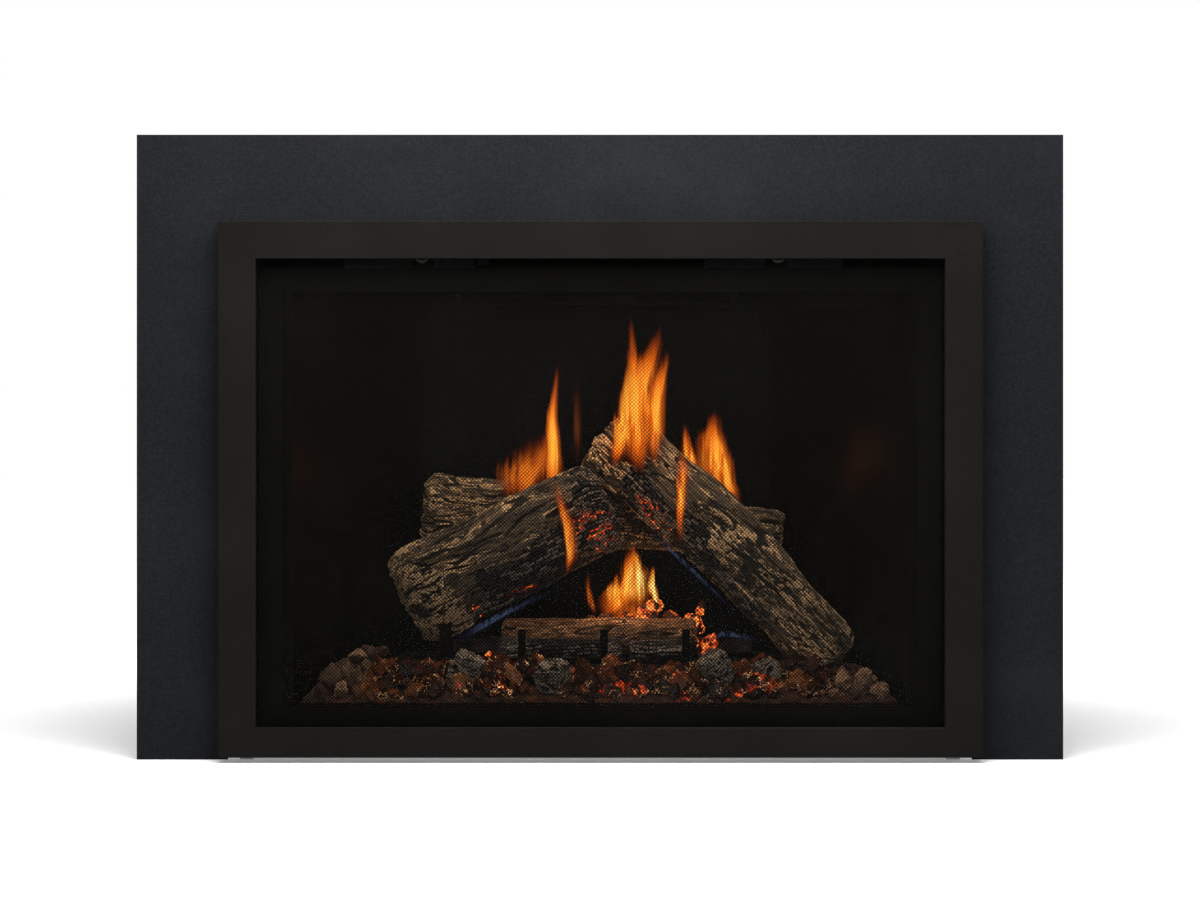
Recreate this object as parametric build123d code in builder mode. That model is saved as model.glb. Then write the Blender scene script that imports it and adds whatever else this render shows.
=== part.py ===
from build123d import *
from math import cos, hypot, pi, radians, sin, sqrt
import os

# Gas fireplace insert: a steel casing with a sealed, glass-fronted firebox, a surround and a
# lift-off front. Millimetres. X is right, the front faces -Y, Z is up, and the origin is at the
# middle of the footprint on the hearth.

# ------------------------------------------------------------------ overall and surround
overall_depth = 440.0
surround_w = 1044.0
surround_h = 704.0
surround_sheet = 1.5
surround_return = 20.0
surround_lap = 8.0
surround_stud_r = 2.5
surround_stud_len = 12.0
surround_stud_low = 100.0
surround_stud_middle = 340.0
surround_stud_drop = 37.0

# ------------------------------------------------------------------ front frame and screen
frame_proud = 30.0
frame_w = 854.0
frame_h = 599.0
frame_bottom = 6.0
frame_side = 42.0
frame_head = 42.0
frame_foot = 33.0
frame_depth = 28.0
frame_plate = 3.0
frame_lip = 2.0
frame_lip_depth = 12.0
frame_edge_r = 1.0
mesh_thick = 1.0
mesh_lap = 8.0
mesh_pitch = 50.0
mesh_hole = 33.0
hook_low = 130.0
hook_high_drop = 145.0
hook_tall = 12.0
hook_thick = 2.0
hook_drop = 8.0
hook_play = 0.3
front_lift = 15.0

# ------------------------------------------------------------------ casing
case_inset = 13.0
case_back_w = 640.0
case_sheet = 2.0
case_shoulder = 248.0
skid_h = 8.0
skid_foot = 15.0
roof_drop = 1.0
rail_leg = 40.0
rail_side_leg = 38.0
rail_rise = 44.0
level_r = 4.0
level_len = 40.0
level_head_r = 7.5
level_head_h = 5.0
level_nut_h = 6.0
level_side_gap = 36.0
level_front_in = 38.5
level_rear_side_gap = 40.0
level_rear_in = 30.0
anchor_side_gap = 66.0
anchor_front_in = 68.5
anchor_pitch = 160.0
anchor_r = 4.5
screw_r = 2.4
screw_head_r = 4.5
screw_head_h = 2.5
screw_grip = 6.0
screw_clear = 0.1
rail_screw_low = 80.0
rail_screw_middle = 300.0
rail_screw_drop = 76.0
power_entry_r = 11.0
power_entry_in = 103.5
power_entry_z = 40.0

# ------------------------------------------------------------------ glass front
glass_set_back = 6.0
glass_side_gap = 20.0
glass_foot_lap = 11.0
glass_head_gap = 9.0
glass_band = 27.0
glass_foot = 29.0
glass_frame_depth = 9.0
gasket_thick = 8.0
gasket_in = 5.0
pane_thick = 5.0
pane_lap = 14.0
clip_w = 24.0
clip_thick = 1.5
latch_x = 200.0
latch_rise = 12.0
latch_stud_r = 3.0
latch_stud_len = 30.5
latch_disc_r = 7.0
latch_disc_h = 4.0
latch_arm = 26.0
latch_arm_w = 6.0
lug_half = 12.0
spring_mean_r = 5.0
spring_wire_r = 0.6
spring_turns = 5

# ------------------------------------------------------------------ firebox
flange_edge_gap = 15.0
flange_lap = 12.0
flange_sheet = 2.0
fire_side_lap = 11.0
fire_back_half = 217.0
fire_head = 8.0
liner_thick = 5.0
liner_gap = 1.0
liner_head_gap = 2.0
fire_sheet = 2.0
ledge_z = 52.0
ledge_depth = 12.0
platform_z = 86.0
slope_run = 72.0
baffle_w = 340.0
baffle_deep = 102.0
baffle_drop = 14.0

# ------------------------------------------------------------------ vent
vent_x = 65.0
vent_in = 50.0
vent_w = 260.0
vent_deep = 100.0
vent_wall = 2.0
vent_hole_r = 34.0
collar_r = 38.0
collar_wall = 1.5
collar_top = 640.0
collar_flange_r = 50.0
collar_screw_r = 44.0
damper_size = 50.0
damper_plate = 1.5
damper_rod_r = 2.5
damper_lever = 22.0
run_clear = 0.05

# ------------------------------------------------------------------ tray, burner, grate
tray_sheet = 2.0
tray_side_gap = 1.0
tray_lip_z = 58.0
tray_z = 92.0
tray_lip_depth = 6.0
tray_back_gap = 8.0
bed_thick = 5.0
bed_run = 68.0
burner_r = 11.0
burner_wall = 1.5
burner_half = 185.0
burner_rear_half = 128.0
burner_set_back = 93.0
burner_pitch = 37.0
burner_cross_r = 9.0
burner_lift = 3.0
port_r = 1.2
port_pitch = 24.0
riser_x = 120.0
mixer_z = 56.0
mixer_r = 13.0
mixer_set_back = 30.0
pass_clear = 0.3
shutter_wall = 1.5
shutter_len = 18.0
shutter_travel = 12.0
shutter_rod_r = 2.0
shutter_rod_z = 20.0
shutter_knob_r = 6.0
grate_ahead = 10.0
grate_bar = 6.0
grate_bar_h = 7.0
grate_prongs_x = (-89.0, 6.5, 102.0)
grate_prong_w = 9.0
grate_prong_top = 138.0
grate_half = 186.0
grate_post_x = -178.0
seat_gap = 0.3

# ------------------------------------------------------------------ controls and blower
valve_w = 100.0
valve_deep = 55.0
valve_h = 52.0
valve_x = -20.0
valve_in = 68.5
gas_pipe_r = 6.0
gas_pipe_z = 34.0
gas_pipe_in = 103.5
gas_inlet_r = 7.5
gas_inlet_deep = 18.0
gas_hex_r = 12.0
orifice_gap = 20.0
gas_knob_r = 13.0
flame_knob_r = 9.0
knob_len = 14.0
knob_stub_r = 3.0
box_side_gap = 136.0
box_w = 120.0
box_deep = 60.0
box_h = 17.0
box_in = 20.5
box_wall = 2.0
rocker_w = 20.0
rocker_h = 11.0
rocker_thick = 6.0
rocker_pin_r = 1.0
fan_knob_r = 7.5
blower_gap = 4.0
blower_fire_gap = 2.0
blower_z = 56.0
blower_len = 280.0
blower_box = 84.0
blower_box_h = 92.0
blower_sheet = 1.5
rotor_r = 28.0
rotor_blade = 7.0
rotor_blades = 20
rotor_shaft_r = 3.0
motor_r = 32.0
motor_len = 48.0

# ------------------------------------------------------------------ places worked out
y_front = -overall_depth / 2
y_back = overall_depth / 2
y_surround = y_front + frame_proud
y_case = y_surround + surround_sheet
y_glass = y_surround + glass_set_back
glass_sheet = frame_lip
y_gasket = y_glass + glass_sheet
y_flange = y_gasket + gasket_thick
y_fire = y_flange + flange_sheet
wrap_in = liner_thick + liner_gap
wrap_out = wrap_in + fire_sheet
blower_y = y_back - case_sheet - blower_gap - blower_box / 2
y_fire_back = blower_y - blower_box / 2 - blower_fire_gap - wrap_out
y_shoulder = y_case + case_shoulder
frame_top = frame_bottom + frame_h
frame_half = frame_w / 2
open_half = frame_half - frame_side
open_bottom = frame_bottom + frame_foot
open_top = frame_top - frame_head
surround_half = surround_w / 2
surround_open_half = frame_half - surround_lap
surround_open_top = frame_top - surround_lap
case_half = surround_open_half - case_inset
case_floor = skid_h + case_sheet
case_roof = surround_open_top - roof_drop
case_top_z = case_roof + case_sheet
case_slant = (case_half - case_back_w / 2) / (y_back - y_shoulder)
case_stretch = sqrt(1 + case_slant**2)
rail_half = case_half + rail_leg
rail_top = surround_open_top + rail_rise
stud_x = (surround_open_half + rail_half) / 2 + 1.5
glass_half = case_half - glass_side_gap
glass_frame_bottom = open_bottom - glass_foot_lap
glass_frame_top = open_top - glass_head_gap
sight_half = glass_half - glass_band
sight_bottom = glass_frame_bottom + glass_foot
sight_top = glass_frame_top - glass_band
pane_half = sight_half + pane_lap - 1
pane_bottom = sight_bottom - pane_lap + 1
pane_top = sight_top + pane_lap - 1
fire_front_half = sight_half - fire_side_lap
fire_roof = sight_top + fire_head
fire_slant = (fire_front_half - fire_back_half) / (y_fire_back - y_fire)
fire_stretch = sqrt(1 + fire_slant**2)
y_slope_back = y_fire + ledge_depth + slope_run
fire_floor_z = ledge_z - fire_sheet
flange_half = glass_half - flange_edge_gap
flange_bottom = sight_bottom - flange_lap
flange_top = sight_top + flange_lap
latch_z = glass_frame_top + latch_rise
y_tray_lip = y_fire + tray_lip_depth
y_tray_back = y_fire_back - tray_back_gap
bed_z = tray_z + bed_thick
grate_z = bed_z + seat_gap
grate_top = grate_z + grate_bar_h
burner_z = tray_z + burner_lift + burner_r
damper_z = (fire_roof + fire_sheet + case_roof) / 2
vent_y = y_fire_back - vent_in
bed_back_y = y_slope_back + bed_run
grate_front_y = y_slope_back - grate_ahead
burner_front_y = y_slope_back + burner_set_back
burner_rear_y = burner_front_y + burner_pitch
mixer_front_y = y_slope_back + mixer_set_back
orifice_y = mixer_front_y - orifice_gap
valve_front_y = y_case + valve_in
gas_pipe_y = y_case + gas_pipe_in
box_front_y = y_case + box_in
box_x = case_half - box_side_gap
level_front = (case_half - level_side_gap, y_case + level_front_in)
level_rear = (case_back_w / 2 - level_rear_side_gap, y_back - level_rear_in)
anchor_x = case_half - anchor_side_gap
anchor_ys = (y_case + anchor_front_in, y_case + anchor_front_in + anchor_pitch)
hook_heights = (hook_low, frame_top - hook_high_drop)
surround_stud_high = surround_open_top - surround_stud_drop
surround_stud_heights = (surround_stud_low, surround_stud_middle, surround_stud_high)


def finish(piece, name):
    """Label a finished piece and write its file."""
    piece.part.label = name
    export_step(piece.part, f"parts/{name}.step")


def block(x_span, y_span, z_span, mode=Mode.ADD):
    """A box between two limits on each axis."""
    spans = (x_span, y_span, z_span)
    with Locations(tuple(sum(span) / 2 for span in spans)):
        Box(*(max(span) - min(span) for span in spans), mode=mode)


def rod_x(x_span, y, z, r, mode=Mode.ADD):
    """A round bar along X."""
    with Locations(Location((sum(x_span) / 2, y, z), (0, 90, 0))):
        Cylinder(r, abs(x_span[1] - x_span[0]), mode=mode)


def rod_y(x, y_span, z, r, mode=Mode.ADD):
    """A round bar along Y."""
    with Locations(Location((x, sum(y_span) / 2, z), (90, 0, 0))):
        Cylinder(r, abs(y_span[1] - y_span[0]), mode=mode)


def rod_z(x, y, z_span, r, mode=Mode.ADD):
    """A round bar along Z."""
    with Locations((x, y, sum(z_span) / 2)):
        Cylinder(r, abs(z_span[1] - z_span[0]), mode=mode)


def upright(y):
    """A plane square to Y, where extrusions come forward from y."""
    return Plane.XZ.offset(-y)


def window(half, bottom, top, mode=Mode.ADD):
    """A rectangle in an upright sketch, centred on X."""
    with Locations((0, (bottom + top) / 2)):
        Rectangle(2 * half, top - bottom, mode=mode)


def case_plan(inset):
    """Plan corners of the casing, each side moved in by inset."""
    half = case_half - inset
    shoulder = y_shoulder - inset * (case_stretch - 1) / case_slant
    back = y_back - inset
    back_half = case_half - case_slant * (back - y_shoulder) - case_stretch * inset
    right = [(half, y_case), (half, shoulder), (back_half, back)]
    left = [(-x, y) for x, y in reversed(right)]
    return right + left


def fire_half(y):
    """Half width between the side liners at depth y."""
    return fire_front_half - fire_slant * (y - y_fire)


def fire_plan(grow, start, end):
    """Plan corners of the firebox from start to end, the slanted sides moved out by grow."""
    step = grow * fire_stretch
    near = fire_half(start) + step
    far = fire_half(end) + step
    return [(-near, start), (near, start), (far, end), (-far, end)]


def floor_profile(lip_z, flat_z, lip_end, slope_end, back):
    """Side view of a sheet that lies flat at the lip, climbs, and lies flat to the back."""
    return [(y_fire, lip_z), (lip_end, lip_z), (slope_end, flat_z), (back, flat_z)]


# ================================================================== casing
# The base is a pan on three folded skids. Its upstands carry the firebox.
upstands = ((230.0, y_slope_back + 43), (175.0, y_fire_back - 25))
shutter_guide_y = y_case + 38.5
with BuildPart() as case_base:
    with BuildSketch(Plane.XY.offset(skid_h)):
        Polygon(*case_plan(0))
    extrude(amount=case_sheet)
    for side in (-1, 1):
        edge = side * case_half
        block((edge, edge - side * case_sheet), (y_case, y_shoulder), (0, skid_h))
        block((edge, edge - side * skid_foot), (y_case, y_shoulder), (0, case_sheet))
    rear_half = case_back_w / 2
    block((-rear_half, rear_half), (y_back - case_sheet, y_back), (0, skid_h))
    block((-rear_half, rear_half), (y_back - skid_foot, y_back), (0, case_sheet))
    for side in (-1, 1):
        for x, y in upstands:
            post = (side * x, side * x + case_sheet)
            block(post, (y - 15, y + 15), (case_floor, platform_z - fire_sheet))
    guide_x = (riser_x - 6, riser_x + 6)
    guide_ys = (shutter_guide_y - 1, shutter_guide_y + 1)
    block(guide_x, guide_ys, (case_floor, shutter_rod_z + 8))
    bore_ys = (guide_ys[0] - 1, guide_ys[1] + 1)
    rod_y(riser_x, bore_ys, shutter_rod_z, shutter_rod_r + 2 * run_clear, Mode.SUBTRACT)
    for x, y in (level_front, level_rear):
        for side in (-1, 1):
            rod_z(side * x, y, (case_floor, case_floor + level_nut_h), level_head_r)
            bore = (skid_h - 1, case_floor + level_nut_h + 1)
            rod_z(side * x, y, bore, level_r + run_clear, Mode.SUBTRACT)
    for y in anchor_ys:
        for side in (-1, 1):
            rod_z(side * anchor_x, y, (skid_h - 1, case_floor + 1), anchor_r, Mode.SUBTRACT)
finish(case_base, "case_base")

rail_screw_y = y_case + rail_side_leg * 0.62
rail_screw_zs = (rail_screw_low, rail_screw_middle, case_roof - rail_screw_drop)


def side_plan(side):
    """Plan corners of one casing side: a straight run, then the slant to the back plate."""
    outer = case_plan(0)[:3]
    inner = case_plan(case_sheet)[:3]
    end_y = inner[2][1]
    end_half = case_half - case_slant * (end_y - y_shoulder)
    corners = [outer[0], outer[1], (end_half, end_y), inner[2], inner[1], inner[0]]
    return [(side * x, y) for x, y in corners]


def case_side(side):
    """One side plate with the holes of the rail screws."""
    with BuildPart() as plate:
        with BuildSketch(Plane.XY.offset(case_floor)):
            Polygon(*side_plan(side))
        extrude(amount=case_roof - case_floor)
        for z in rail_screw_zs:
            reach = (side * (case_half - 5), side * (case_half + 1))
            rod_x(reach, rail_screw_y, z, screw_r + screw_clear, Mode.SUBTRACT)
    return plate.part


with BuildPart() as case_left_side:
    add(case_side(-1))
    entry = (-case_half - 1, -case_half + case_sheet + 1)
    rod_x(entry, y_case + power_entry_in, power_entry_z, power_entry_r, Mode.SUBTRACT)
finish(case_left_side, "case_left_side")

with BuildPart() as case_right_side:
    add(case_side(1))
    entry = (case_half - case_sheet - 1, case_half + 1)
    rod_x(entry, gas_pipe_y, gas_pipe_z, gas_hex_r + pass_clear, Mode.SUBTRACT)
finish(case_right_side, "case_right_side")

with BuildPart() as case_back:
    inner_end = case_plan(case_sheet)[2][1]
    inner_end_half = case_half - case_slant * (inner_end - y_shoulder)
    with BuildSketch(Plane.XY.offset(case_floor)):
        Polygon(
            (-inner_end_half, inner_end),
            (inner_end_half, inner_end),
            (case_back_w / 2, y_back),
            (-case_back_w / 2, y_back),
        )
    extrude(amount=case_roof - case_floor)
finish(case_back, "case_back")

collar_screws = [
    (side * vent_x + dx * collar_screw_r * sqrt(0.5), vent_y + dy * collar_screw_r * sqrt(0.5))
    for side in (-1, 1)
    for dx in (-1, 1)
    for dy in (-1, 1)
]
with BuildPart() as case_top:
    with BuildSketch(Plane.XY.offset(case_roof)):
        Polygon(*case_plan(0))
        with Locations((-vent_x, vent_y), (vent_x, vent_y)):
            Circle(collar_r - collar_wall, mode=Mode.SUBTRACT)
        with Locations(*collar_screws):
            Circle(screw_r + screw_clear, mode=Mode.SUBTRACT)
    extrude(amount=case_sheet)
finish(case_top, "case_top")

# Angle rails up the casing's front edges. The front hangs in their slots and the surround
# is nutted to their front legs.
slot_x = (surround_open_half + case_half + case_sheet) / 2 - 1.5
with BuildPart() as front_rails:
    for side in (-1, 1):
        leg = (side * case_half, side * rail_half)
        web = (side * case_half, side * (case_half + case_sheet))
        block(leg, (y_case, y_case + case_sheet), (case_floor, rail_top))
        block(web, (y_case, y_case + rail_side_leg), (case_floor, case_roof))
        for z in hook_heights:
            slot = (side * (slot_x - 2.5), side * (slot_x + 2.5))
            tall = (z, z + hook_tall + front_lift + 1)
            block(slot, (y_case - 1, y_case + case_sheet + 1), tall, Mode.SUBTRACT)
        for z in surround_stud_heights + (surround_open_top + rail_rise / 2,):
            through = (y_case - 1, y_case + case_sheet + 1)
            hole_r = surround_stud_r + screw_clear
            rod_y(side * stud_x, through, z, hole_r, Mode.SUBTRACT)
        for z in rail_screw_zs:
            reach = (side * (case_half - 1), side * (case_half + case_sheet + 1))
            rod_x(reach, rail_screw_y, z, screw_r + screw_clear, Mode.SUBTRACT)
finish(front_rails, "front_rails")

with BuildPart() as case_screws:
    head_x = case_half + case_sheet
    for side in (-1, 1):
        for z in rail_screw_zs:
            rod_x((side * head_x, side * (head_x + screw_head_h)), rail_screw_y, z, screw_head_r)
            rod_x((side * head_x, side * (head_x - screw_grip)), rail_screw_y, z, screw_r)
    for x, y in collar_screws:
        flange_z = case_top_z + collar_wall
        rod_z(x, y, (flange_z, flange_z + screw_head_h), screw_head_r)
        rod_z(x, y, (flange_z - screw_grip, flange_z), screw_r)
finish(case_screws, "case_screws")

for end, (bolt_x, bolt_y) in (("front", level_front), ("rear", level_rear)):
    for hand, side in (("left", -1), ("right", 1)):
        foot_z = (skid_h - level_head_h) / 6
        with BuildPart() as levelling_bolt:
            with BuildSketch(Plane.XY.offset(foot_z)):
                with Locations((side * bolt_x, bolt_y)):
                    RegularPolygon(level_head_r, 6)
            extrude(amount=level_head_h)
            shank = (foot_z + level_head_h, foot_z + level_head_h + level_len)
            rod_z(side * bolt_x, bolt_y, shank, level_r)
        finish(levelling_bolt, f"levelling_bolt_{end}_{hand}")

# ================================================================== firebox
with BuildPart() as firebox_wrap:
    with BuildSketch(Plane.XY.offset(fire_floor_z)):
        Polygon(*fire_plan(wrap_out, y_fire, y_fire_back + wrap_out))
        Polygon(*fire_plan(wrap_in, y_fire - 1, y_fire_back + wrap_in), mode=Mode.SUBTRACT)
    extrude(amount=fire_roof - fire_floor_z)
finish(firebox_wrap, "firebox_wrap")

with BuildPart() as firebox_top:
    with BuildSketch(Plane.XY.offset(fire_roof)):
        Polygon(*fire_plan(wrap_out, y_fire, y_fire_back + wrap_out))
        with Locations((-vent_x, vent_y), (vent_x, vent_y)):
            Circle(vent_hole_r, mode=Mode.SUBTRACT)
    extrude(amount=fire_sheet)
finish(firebox_top, "firebox_top")

floor_back = y_fire_back + wrap_in
floor_top_line = floor_profile(
    ledge_z, platform_z, y_fire + ledge_depth, y_slope_back, floor_back
)
with BuildPart() as firebox_floor:
    with BuildSketch(Plane.YZ):
        Polygon(*floor_top_line, *[(y, z - fire_sheet) for y, z in reversed(floor_top_line)])
    extrude(amount=case_half, both=True)
    with BuildSketch():
        Polygon(*fire_plan(wrap_in, y_fire, floor_back))
    extrude(amount=case_roof, mode=Mode.INTERSECT)
    rod_z(riser_x, burner_front_y, (0, tray_z), burner_cross_r + pass_clear, Mode.SUBTRACT)
finish(firebox_floor, "firebox_floor")

with BuildPart() as firebox_flange:
    with BuildSketch(upright(y_fire)):
        window(flange_half, flange_bottom, flange_top)
        for side in (-1, 1):
            with Locations((side * latch_x, (flange_top + latch_z + lug_half) / 2)):
                Rectangle(2 * lug_half, latch_z + lug_half - flange_top)
        window(fire_front_half, sight_bottom, sight_top, Mode.SUBTRACT)
    extrude(amount=flange_sheet)
    for side in (-1, 1):
        stud_end = y_flange - latch_stud_len
        rod_y(side * latch_x, (y_flange, stud_end), latch_z, latch_stud_r)
        rod_y(side * latch_x, (stud_end + 2, stud_end), latch_z, latch_stud_r * 1.5)
finish(firebox_flange, "firebox_flange")


def above_floor(top):
    """Side view of the space over the firebox floor, up to top."""
    back = y_fire_back + wrap_out
    return floor_top_line[:3] + [(back, platform_z), (back, top), (y_fire, top)]


liner_top = fire_roof - liner_head_gap
for hand, side in (("left", -1), ("right", 1)):
    step = liner_thick * fire_stretch
    with BuildPart() as liner:
        with BuildSketch():
            Polygon(
                (side * fire_half(y_fire), y_fire),
                (side * fire_half(y_fire_back), y_fire_back),
                (side * (fire_half(y_fire_back) + step), y_fire_back),
                (side * (fire_half(y_fire) + step), y_fire),
            )
        extrude(amount=liner_top)
        with BuildSketch(Plane.YZ):
            Polygon(*above_floor(liner_top))
        extrude(amount=case_half, both=True, mode=Mode.INTERSECT)
    finish(liner, f"liner_{hand}")

with BuildPart() as liner_back:
    back_half = fire_half(y_fire_back + liner_thick) + liner_thick * fire_stretch
    back_span = (y_fire_back, y_fire_back + liner_thick)
    block((-back_half, back_half), back_span, (platform_z, liner_top))
finish(liner_back, "liner_back")

# The baffle hangs from the firebox top by its two folded ends.
with BuildPart() as baffle:
    baffle_z = fire_roof - baffle_drop
    baffle_ys = (y_tray_back - baffle_deep, y_tray_back)
    block((-baffle_w / 2, baffle_w / 2), baffle_ys, (baffle_z - fire_sheet, baffle_z))
    for side in (-1, 1):
        fold = (side * baffle_w / 2, side * (baffle_w / 2 - fire_sheet))
        block(fold, baffle_ys, (baffle_z, fire_roof))
finish(baffle, "baffle")

# ================================================================== vent
chamber_w = (vent_w - 3 * vent_wall) / 2
with BuildPart() as vent_adapter:
    with BuildSketch(Plane.XY.offset(fire_roof + fire_sheet)):
        with Locations((0, vent_y)):
            Rectangle(vent_w, vent_deep)
            with GridLocations(chamber_w + vent_wall, 0, 2, 1):
                Rectangle(chamber_w, vent_deep - 2 * vent_wall, mode=Mode.SUBTRACT)
    extrude(amount=case_roof - fire_roof - fire_sheet)
    damper_bore = (-vent_w / 2 - 1, vent_wall)
    rod_x(damper_bore, vent_y, damper_z, damper_rod_r + run_clear, Mode.SUBTRACT)
finish(vent_adapter, "vent_adapter")

for vent_name, side in (("exhaust_collar", -1), ("intake_collar", 1)):
    with BuildPart() as collar:
        rod_z(side * vent_x, vent_y, (case_top_z, case_top_z + collar_wall), collar_flange_r)
        rod_z(side * vent_x, vent_y, (case_top_z, collar_top), collar_r)
        bore = (case_top_z - 1, collar_top + 1)
        rod_z(side * vent_x, vent_y, bore, collar_r - collar_wall, Mode.SUBTRACT)
        for x, y in collar_screws:
            rod_z(x, y, bore, screw_r + screw_clear, Mode.SUBTRACT)
    finish(collar, vent_name)

with BuildPart() as restrictor:
    rod_end = -vent_w / 2 - 18
    rod_x((rod_end, vent_wall / 2), vent_y, damper_z, damper_rod_r)
    plate_x = (-vent_x - damper_size / 2, -vent_x + damper_size / 2)
    plate_y = (vent_y - damper_plate / 2, vent_y + damper_plate / 2)
    block(plate_x, plate_y, (damper_z - damper_size / 2, damper_z + damper_size / 2))
    lever_x = (rod_end, rod_end + 3)
    block(lever_x, (vent_y - 4, vent_y + 4), (damper_z - 4, damper_z + damper_lever))
finish(restrictor, "restrictor")

# ================================================================== logs
# A cast log is a ruled loft through uneven ten-sided slices along its length.


def log_form(start, end, thick, deep, lean, taper=1.0, bow=0.0):
    """A lumpy log between two end centres.

    thick and deep are its full sizes across, lean turns its lumps, taper is the size of the
    far end against the near one, and bow lifts its middle.
    """
    slices = 6
    sides = 10
    along = Vector(*end) - Vector(*start)
    direction = along.normalized()
    across = Vector(0, 1, 0)
    across = (across - direction * across.dot(direction)).normalized()
    with BuildPart() as form:
        for i in range(slices):
            t = i / (slices - 1)
            centre = Vector(*start) + along * t + Vector(0, 0, bow * sin(pi * t))
            size = (1 + (taper - 1) * t) * (1 + 0.045 * sin(lean + 2.4 * i))
            with BuildSketch(Plane(origin=centre, x_dir=across, z_dir=direction)):
                ring = []
                for k in range(sides):
                    a = 2 * pi * k / sides
                    lump = 1 + 0.05 * sin(3 * a + lean) + 0.04 * cos(5 * a + 1.7 * i)
                    ring.append((deep / 2 * size * lump * cos(a), thick / 2 * size * lump * sin(a)))
                Polygon(*ring)
        loft(ruled=True)
    return form.part


log_room = y_tray_back - y_slope_back


def log_end(x, share, z):
    """An end of a log, share of the way from the slope's top to the tray's back."""
    return (x, y_slope_back + share * log_room, z)


left_log_low = log_end(-231.0, 0.12, 166.0)
left_log_high = log_end(16.0, 0.26, 285.0)
right_log_high = log_end(6.8, 0.59, 357.0)
right_log_low = log_end(279.0, -0.01, 95.0)
rear_log_left = log_end(-212.0, 0.75, 268.0)
rear_log_right = log_end(230.0, 0.57, 244.0)
notch = (0, seat_gap, 0)

with BuildPart() as log_front_left:
    deep = 0.42 * log_room
    add(log_form(left_log_low, left_log_high, 118, deep, 0.4, taper=0.97))
finish(log_front_left, "log_front_left")

with BuildPart() as log_front_right:
    deep = 0.39 * log_room
    add(log_form(right_log_high, right_log_low, 100, deep, 1.9, taper=0.80, bow=18))
    add(log_front_left.part.moved(Location(notch)), mode=Mode.SUBTRACT)
    with BuildSketch(Plane.XY.offset(bed_z + seat_gap)):
        Polygon(*fire_plan(-3 * tray_side_gap, y_fire, y_fire_back))
    extrude(amount=fire_roof - bed_z, mode=Mode.INTERSECT)
finish(log_front_right, "log_front_right")

with BuildPart() as log_rear:
    deep = 0.36 * log_room
    add(log_form(rear_log_left, rear_log_right, 94, deep, 3.1, taper=0.52))
    add(log_front_right.part.moved(Location(notch)), mode=Mode.SUBTRACT)
finish(log_rear, "log_rear")

# ================================================================== tray, burner, grate
tray_line = floor_profile(tray_lip_z, tray_z, y_tray_lip, y_slope_back, y_tray_back)
rear_rest_xs = (-150.0, 165.0)
with BuildPart() as ember_tray:
    with BuildSketch(Plane.YZ):
        Polygon(*tray_line, *[(y, z - tray_sheet) for y, z in reversed(tray_line)])
    extrude(amount=case_half, both=True)
    block((-case_half, case_half), (y_fire, y_fire + tray_sheet), (ledge_z, tray_lip_z))
    skirt_y = (y_tray_back - tray_sheet, y_tray_back)
    block((-case_half, case_half), skirt_y, (platform_z, tray_z))
    with BuildSketch():
        Polygon(*fire_plan(-tray_side_gap, y_fire, y_tray_back))
    extrude(amount=case_roof, mode=Mode.INTERSECT)
    for x in rear_rest_xs:
        share = (x - rear_log_left[0]) / (rear_log_right[0] - rear_log_left[0])
        rest_y = rear_log_left[1] + share * (rear_log_right[1] - rear_log_left[1])
        block((x - 15, x + 15), (rest_y - 1.5, rest_y + 1.5), (tray_z, rear_log_right[2]))
    add(log_rear.part.moved(Location((0, 0, -seat_gap))), mode=Mode.SUBTRACT)
    hole_r = burner_cross_r + pass_clear
    rod_z(riser_x, burner_front_y, (platform_z, tray_z + 1), hole_r, Mode.SUBTRACT)
finish(ember_tray, "ember_tray")

# Two port tubes joined by a cross tube, with a riser down to the mixing tube.
with BuildPart() as burner:
    port_tubes = ((burner_front_y, burner_half), (burner_rear_y, burner_rear_half))
    for grow, tube_mode in ((0, Mode.ADD), (-burner_wall, Mode.SUBTRACT)):
        for y, half in port_tubes:
            rod_x((-half - grow, half + grow), y, burner_z, burner_r + grow, tube_mode)
        cross = (burner_front_y, burner_rear_y)
        rod_y(riser_x, cross, burner_z, burner_cross_r + grow, tube_mode)
        riser = (mixer_z, burner_z)
        rod_z(riser_x, burner_front_y, riser, burner_cross_r + grow, tube_mode)
        mixer_end = mixer_front_y - (1 if grow else 0)
        mixer_span = (mixer_end, burner_front_y + burner_r + grow)
        rod_y(riser_x, mixer_span, mixer_z, mixer_r + grow, tube_mode)
    for y, half in port_tubes:
        with Locations((0, y, burner_z + burner_r - burner_wall / 2)):
            with GridLocations(port_pitch, 0, int(2 * half / port_pitch), 1):
                Cylinder(port_r, 2 * burner_wall, mode=Mode.SUBTRACT)
        for x in (-half + 12, 0, half - 12):
            foot = (x - 6, x + 6)
            block(foot, (y - 6, y + 6), (tray_z, burner_z - burner_r + 1))
    slot_y = (mixer_front_y + 6, mixer_front_y + 6 + shutter_travel - 3)
    side_slot = (riser_x - mixer_r - 1, riser_x + mixer_r + 1)
    block(side_slot, slot_y, (mixer_z - 4, mixer_z + 4), Mode.SUBTRACT)
finish(burner, "burner")

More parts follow.
